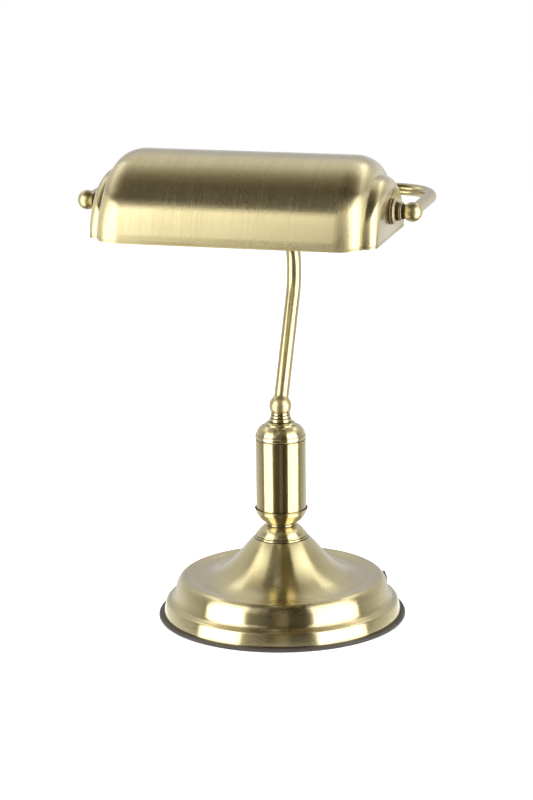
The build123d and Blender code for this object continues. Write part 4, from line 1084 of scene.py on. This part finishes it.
def build_world():
    """White behind the lamp, and round it a pale backdrop with a dark front and a dark ceiling."""
    world = bpy.data.worlds.new("studio_light")
    bpy.context.scene.world = world
    world.use_nodes = True
    world.node_tree.nodes.clear()
    recipe = Recipe(world.node_tree)

    def fade(value, start, end, before, after):
        return recipe.spread(value, start, end, before, after, "SMOOTHSTEP")

    def fade_angle(angle, start, end, before, after):
        return fade(angle, radians(start), radians(end), before, after)

    def product(first, *others):
        for other in others:
            first = recipe.math("MULTIPLY", first, other)
        return first

    sky = recipe.node("ShaderNodeTexCoord").outputs["Generated"]
    x, y, z = recipe.node("ShaderNodeSeparateXYZ", Vector=sky).outputs
    turn = recipe.math("ARCTAN2", x, recipe.math("MULTIPLY", y, -1.0))
    turn = recipe.math("WRAP", recipe.math("SUBTRACT", turn, CAMERA_AZIMUTH), pi)
    turn.node.inputs[2].default_value = -pi
    aside = recipe.math("ABSOLUTE", turn)
    rise = recipe.math("ARCSINE", recipe.math("ABSOLUTE", z))
    back = fade_angle(aside, *BACK)
    above = recipe.math("SUBTRACT", rise, fade_angle(aside, *CEILING_START))
    backdrop = product(fade_angle(aside, *BACKDROP), fade(z, *BACKDROP_FOOT), fade_angle(rise, *BACKDROP_TOP),
                       fade_angle(above, *CEILING))
    backdrop = recipe.math("SUBTRACT", backdrop, product(back, fade_angle(rise, *BACK_DIP)))
    light = recipe.math("ADD", DARK, product(fade_angle(aside, *BEHIND), backdrop))
    for across, upward in FRONT_BANDS:
        steps = [fade_angle(turn, *step) for step in across] + [fade_angle(rise, *step) for step in upward]
        light = recipe.math("ADD", light, product(*steps))
    tone = recipe.blend(fade(light, *WARMTH), solid(WARM_DARK), solid(WARM_LIGHT))
    cool = recipe.blend(product(back, fade_angle(rise, *COOL_RISE)), tone, solid(COOL_BACK))
    around = recipe.node("ShaderNodeBackground", Color=cool, Strength=light)
    white = recipe.node("ShaderNodeBackground", Color=solid((1.0, 1.0, 1.0)))
    seen = recipe.node("ShaderNodeLightPath").outputs["Is Camera Ray"]
    chosen = recipe.node("ShaderNodeMixShader")
    for socket, value in zip(chosen.inputs, (seen, around.outputs[0], white.outputs[0])):
        recipe.feed(socket, value)
    recipe.node("ShaderNodeOutputWorld", Surface=chosen.outputs[0])


def build_studio():
    build_floor()
    build_lights()
    build_world()
    build_camera()
    bpy.context.scene.view_settings.view_transform = "Standard"


# ---- operators and panel --------------------------------------------------------------------------


class LAMP_OT_base(bpy.types.Operator):
    """Spin the weighted base, its rubber edge, felt and cable outlet"""
    bl_idname = "lamp.base"
    bl_label = "Base"

    def execute(self, context):
        build_outlet(build_base(context.scene.lamp_sizes))
        return {"FINISHED"}


class LAMP_OT_underside(bpy.types.Operator):
    """Finish the cover, weight, screws and clamping parts inside the base"""
    bl_idname = "lamp.underside"
    bl_label = "Underside"

    def execute(self, context):
        dress_nodes(("base_weight",), "iron")
        dress_nodes(("base_cover", "cover_screws", "clamp_washer", "clamp_nut", "spacer_sleeve",
                     "threaded_rod"), "steel")
        return {"FINISHED"}


class LAMP_OT_column(bpy.types.Operator):
    """Turn the column with its collar, cup, cap and ringed neck"""
    bl_idname = "lamp.column"
    bl_label = "Column"

    def execute(self, context):
        build_column(context.scene.lamp_sizes)
        return {"FINISHED"}


class LAMP_OT_stem(bpy.types.Operator):
    """Bend the stem and set it in its ball"""
    bl_idname = "lamp.stem"
    bl_label = "Stem"

    def execute(self, context):
        build_stem(context.scene.lamp_sizes)
        return {"FINISHED"}


class LAMP_OT_bail(bpy.types.Operator):
    """Bend the bail that goes round the back of the shade"""
    bl_idname = "lamp.bail"
    bl_label = "Bail"

    def execute(self, context):
        build_bail(context.scene.lamp_sizes)
        return {"FINISHED"}


class LAMP_OT_pivots(bpy.types.Operator):
    """Stack the washers and balls of both pivots"""
    bl_idname = "lamp.pivots"
    bl_label = "Pivots"

    def execute(self, context):
        build_pivots(context.scene.lamp_sizes)
        return {"FINISHED"}


class LAMP_OT_shade(bpy.types.Operator):
    """Press the stepped half-round shade"""
    bl_idname = "lamp.shade"
    bl_label = "Shade"

    def execute(self, context):
        build_shade(context.scene.lamp_sizes)
        return {"FINISHED"}


class LAMP_OT_lampholder(bpy.types.Operator):
    """Build the lampholder and its bracket inside the shade"""
    bl_idname = "lamp.lampholder"
    bl_label = "Lampholder"

    def execute(self, context):
        build_lampholder(context.scene.lamp_sizes)
        return {"FINISHED"}


class LAMP_OT_bulb(bpy.types.Operator):
    """Blow the opal bulb and roll its threaded cap"""
    bl_idname = "lamp.bulb"
    bl_label = "Bulb"

    def execute(self, context):
        build_bulb(context.scene.lamp_sizes)
        return {"FINISHED"}


class LAMP_OT_studio(bpy.types.Operator):
    """Set up the floor, the soft light and the camera"""
    bl_idname = "lamp.studio"
    bl_label = "Studio"

    def execute(self, context):
        build_studio()
        return {"FINISHED"}


STEPS = ("base", "underside", "column", "stem", "bail", "pivots", "shade", "lampholder", "bulb",
         "studio")


class LAMP_PT_panel(bpy.types.Panel):
    """Lists the lamp's sizes, colours and building steps"""
    bl_idname = "LAMP_PT_panel"
    bl_label = "Desk Lamp"
    bl_space_type = "VIEW_3D"
    bl_region_type = "UI"
    bl_category = "Desk Lamp"

    def draw(self, context):
        for group in (context.scene.lamp_sizes, context.scene.lamp_colours):
            box = self.layout.box()
            for name in group.__annotations__:
                box.prop(group, name)
        column = self.layout.column(align=True)
        for step in STEPS:
            column.operator("lamp." + step)


CLASSES = (LampSizes, LampColours, LAMP_OT_base, LAMP_OT_underside, LAMP_OT_column, LAMP_OT_stem,
           LAMP_OT_bail, LAMP_OT_pivots, LAMP_OT_shade, LAMP_OT_lampholder, LAMP_OT_bulb,
           LAMP_OT_studio, LAMP_PT_panel)


def register():
    for item in CLASSES:
        bpy.utils.register_class(item)
    bpy.types.Scene.lamp_sizes = PointerProperty(type=LampSizes)
    bpy.types.Scene.lamp_colours = PointerProperty(type=LampColours)


def unregister():
    del bpy.types.Scene.lamp_sizes
    del bpy.types.Scene.lamp_colours
    for item in reversed(CLASSES):
        bpy.utils.unregister_class(item)


def main():
    register()
    for step in STEPS:
        getattr(bpy.ops.lamp, step)()


if __name__ == "__main__":
    main()
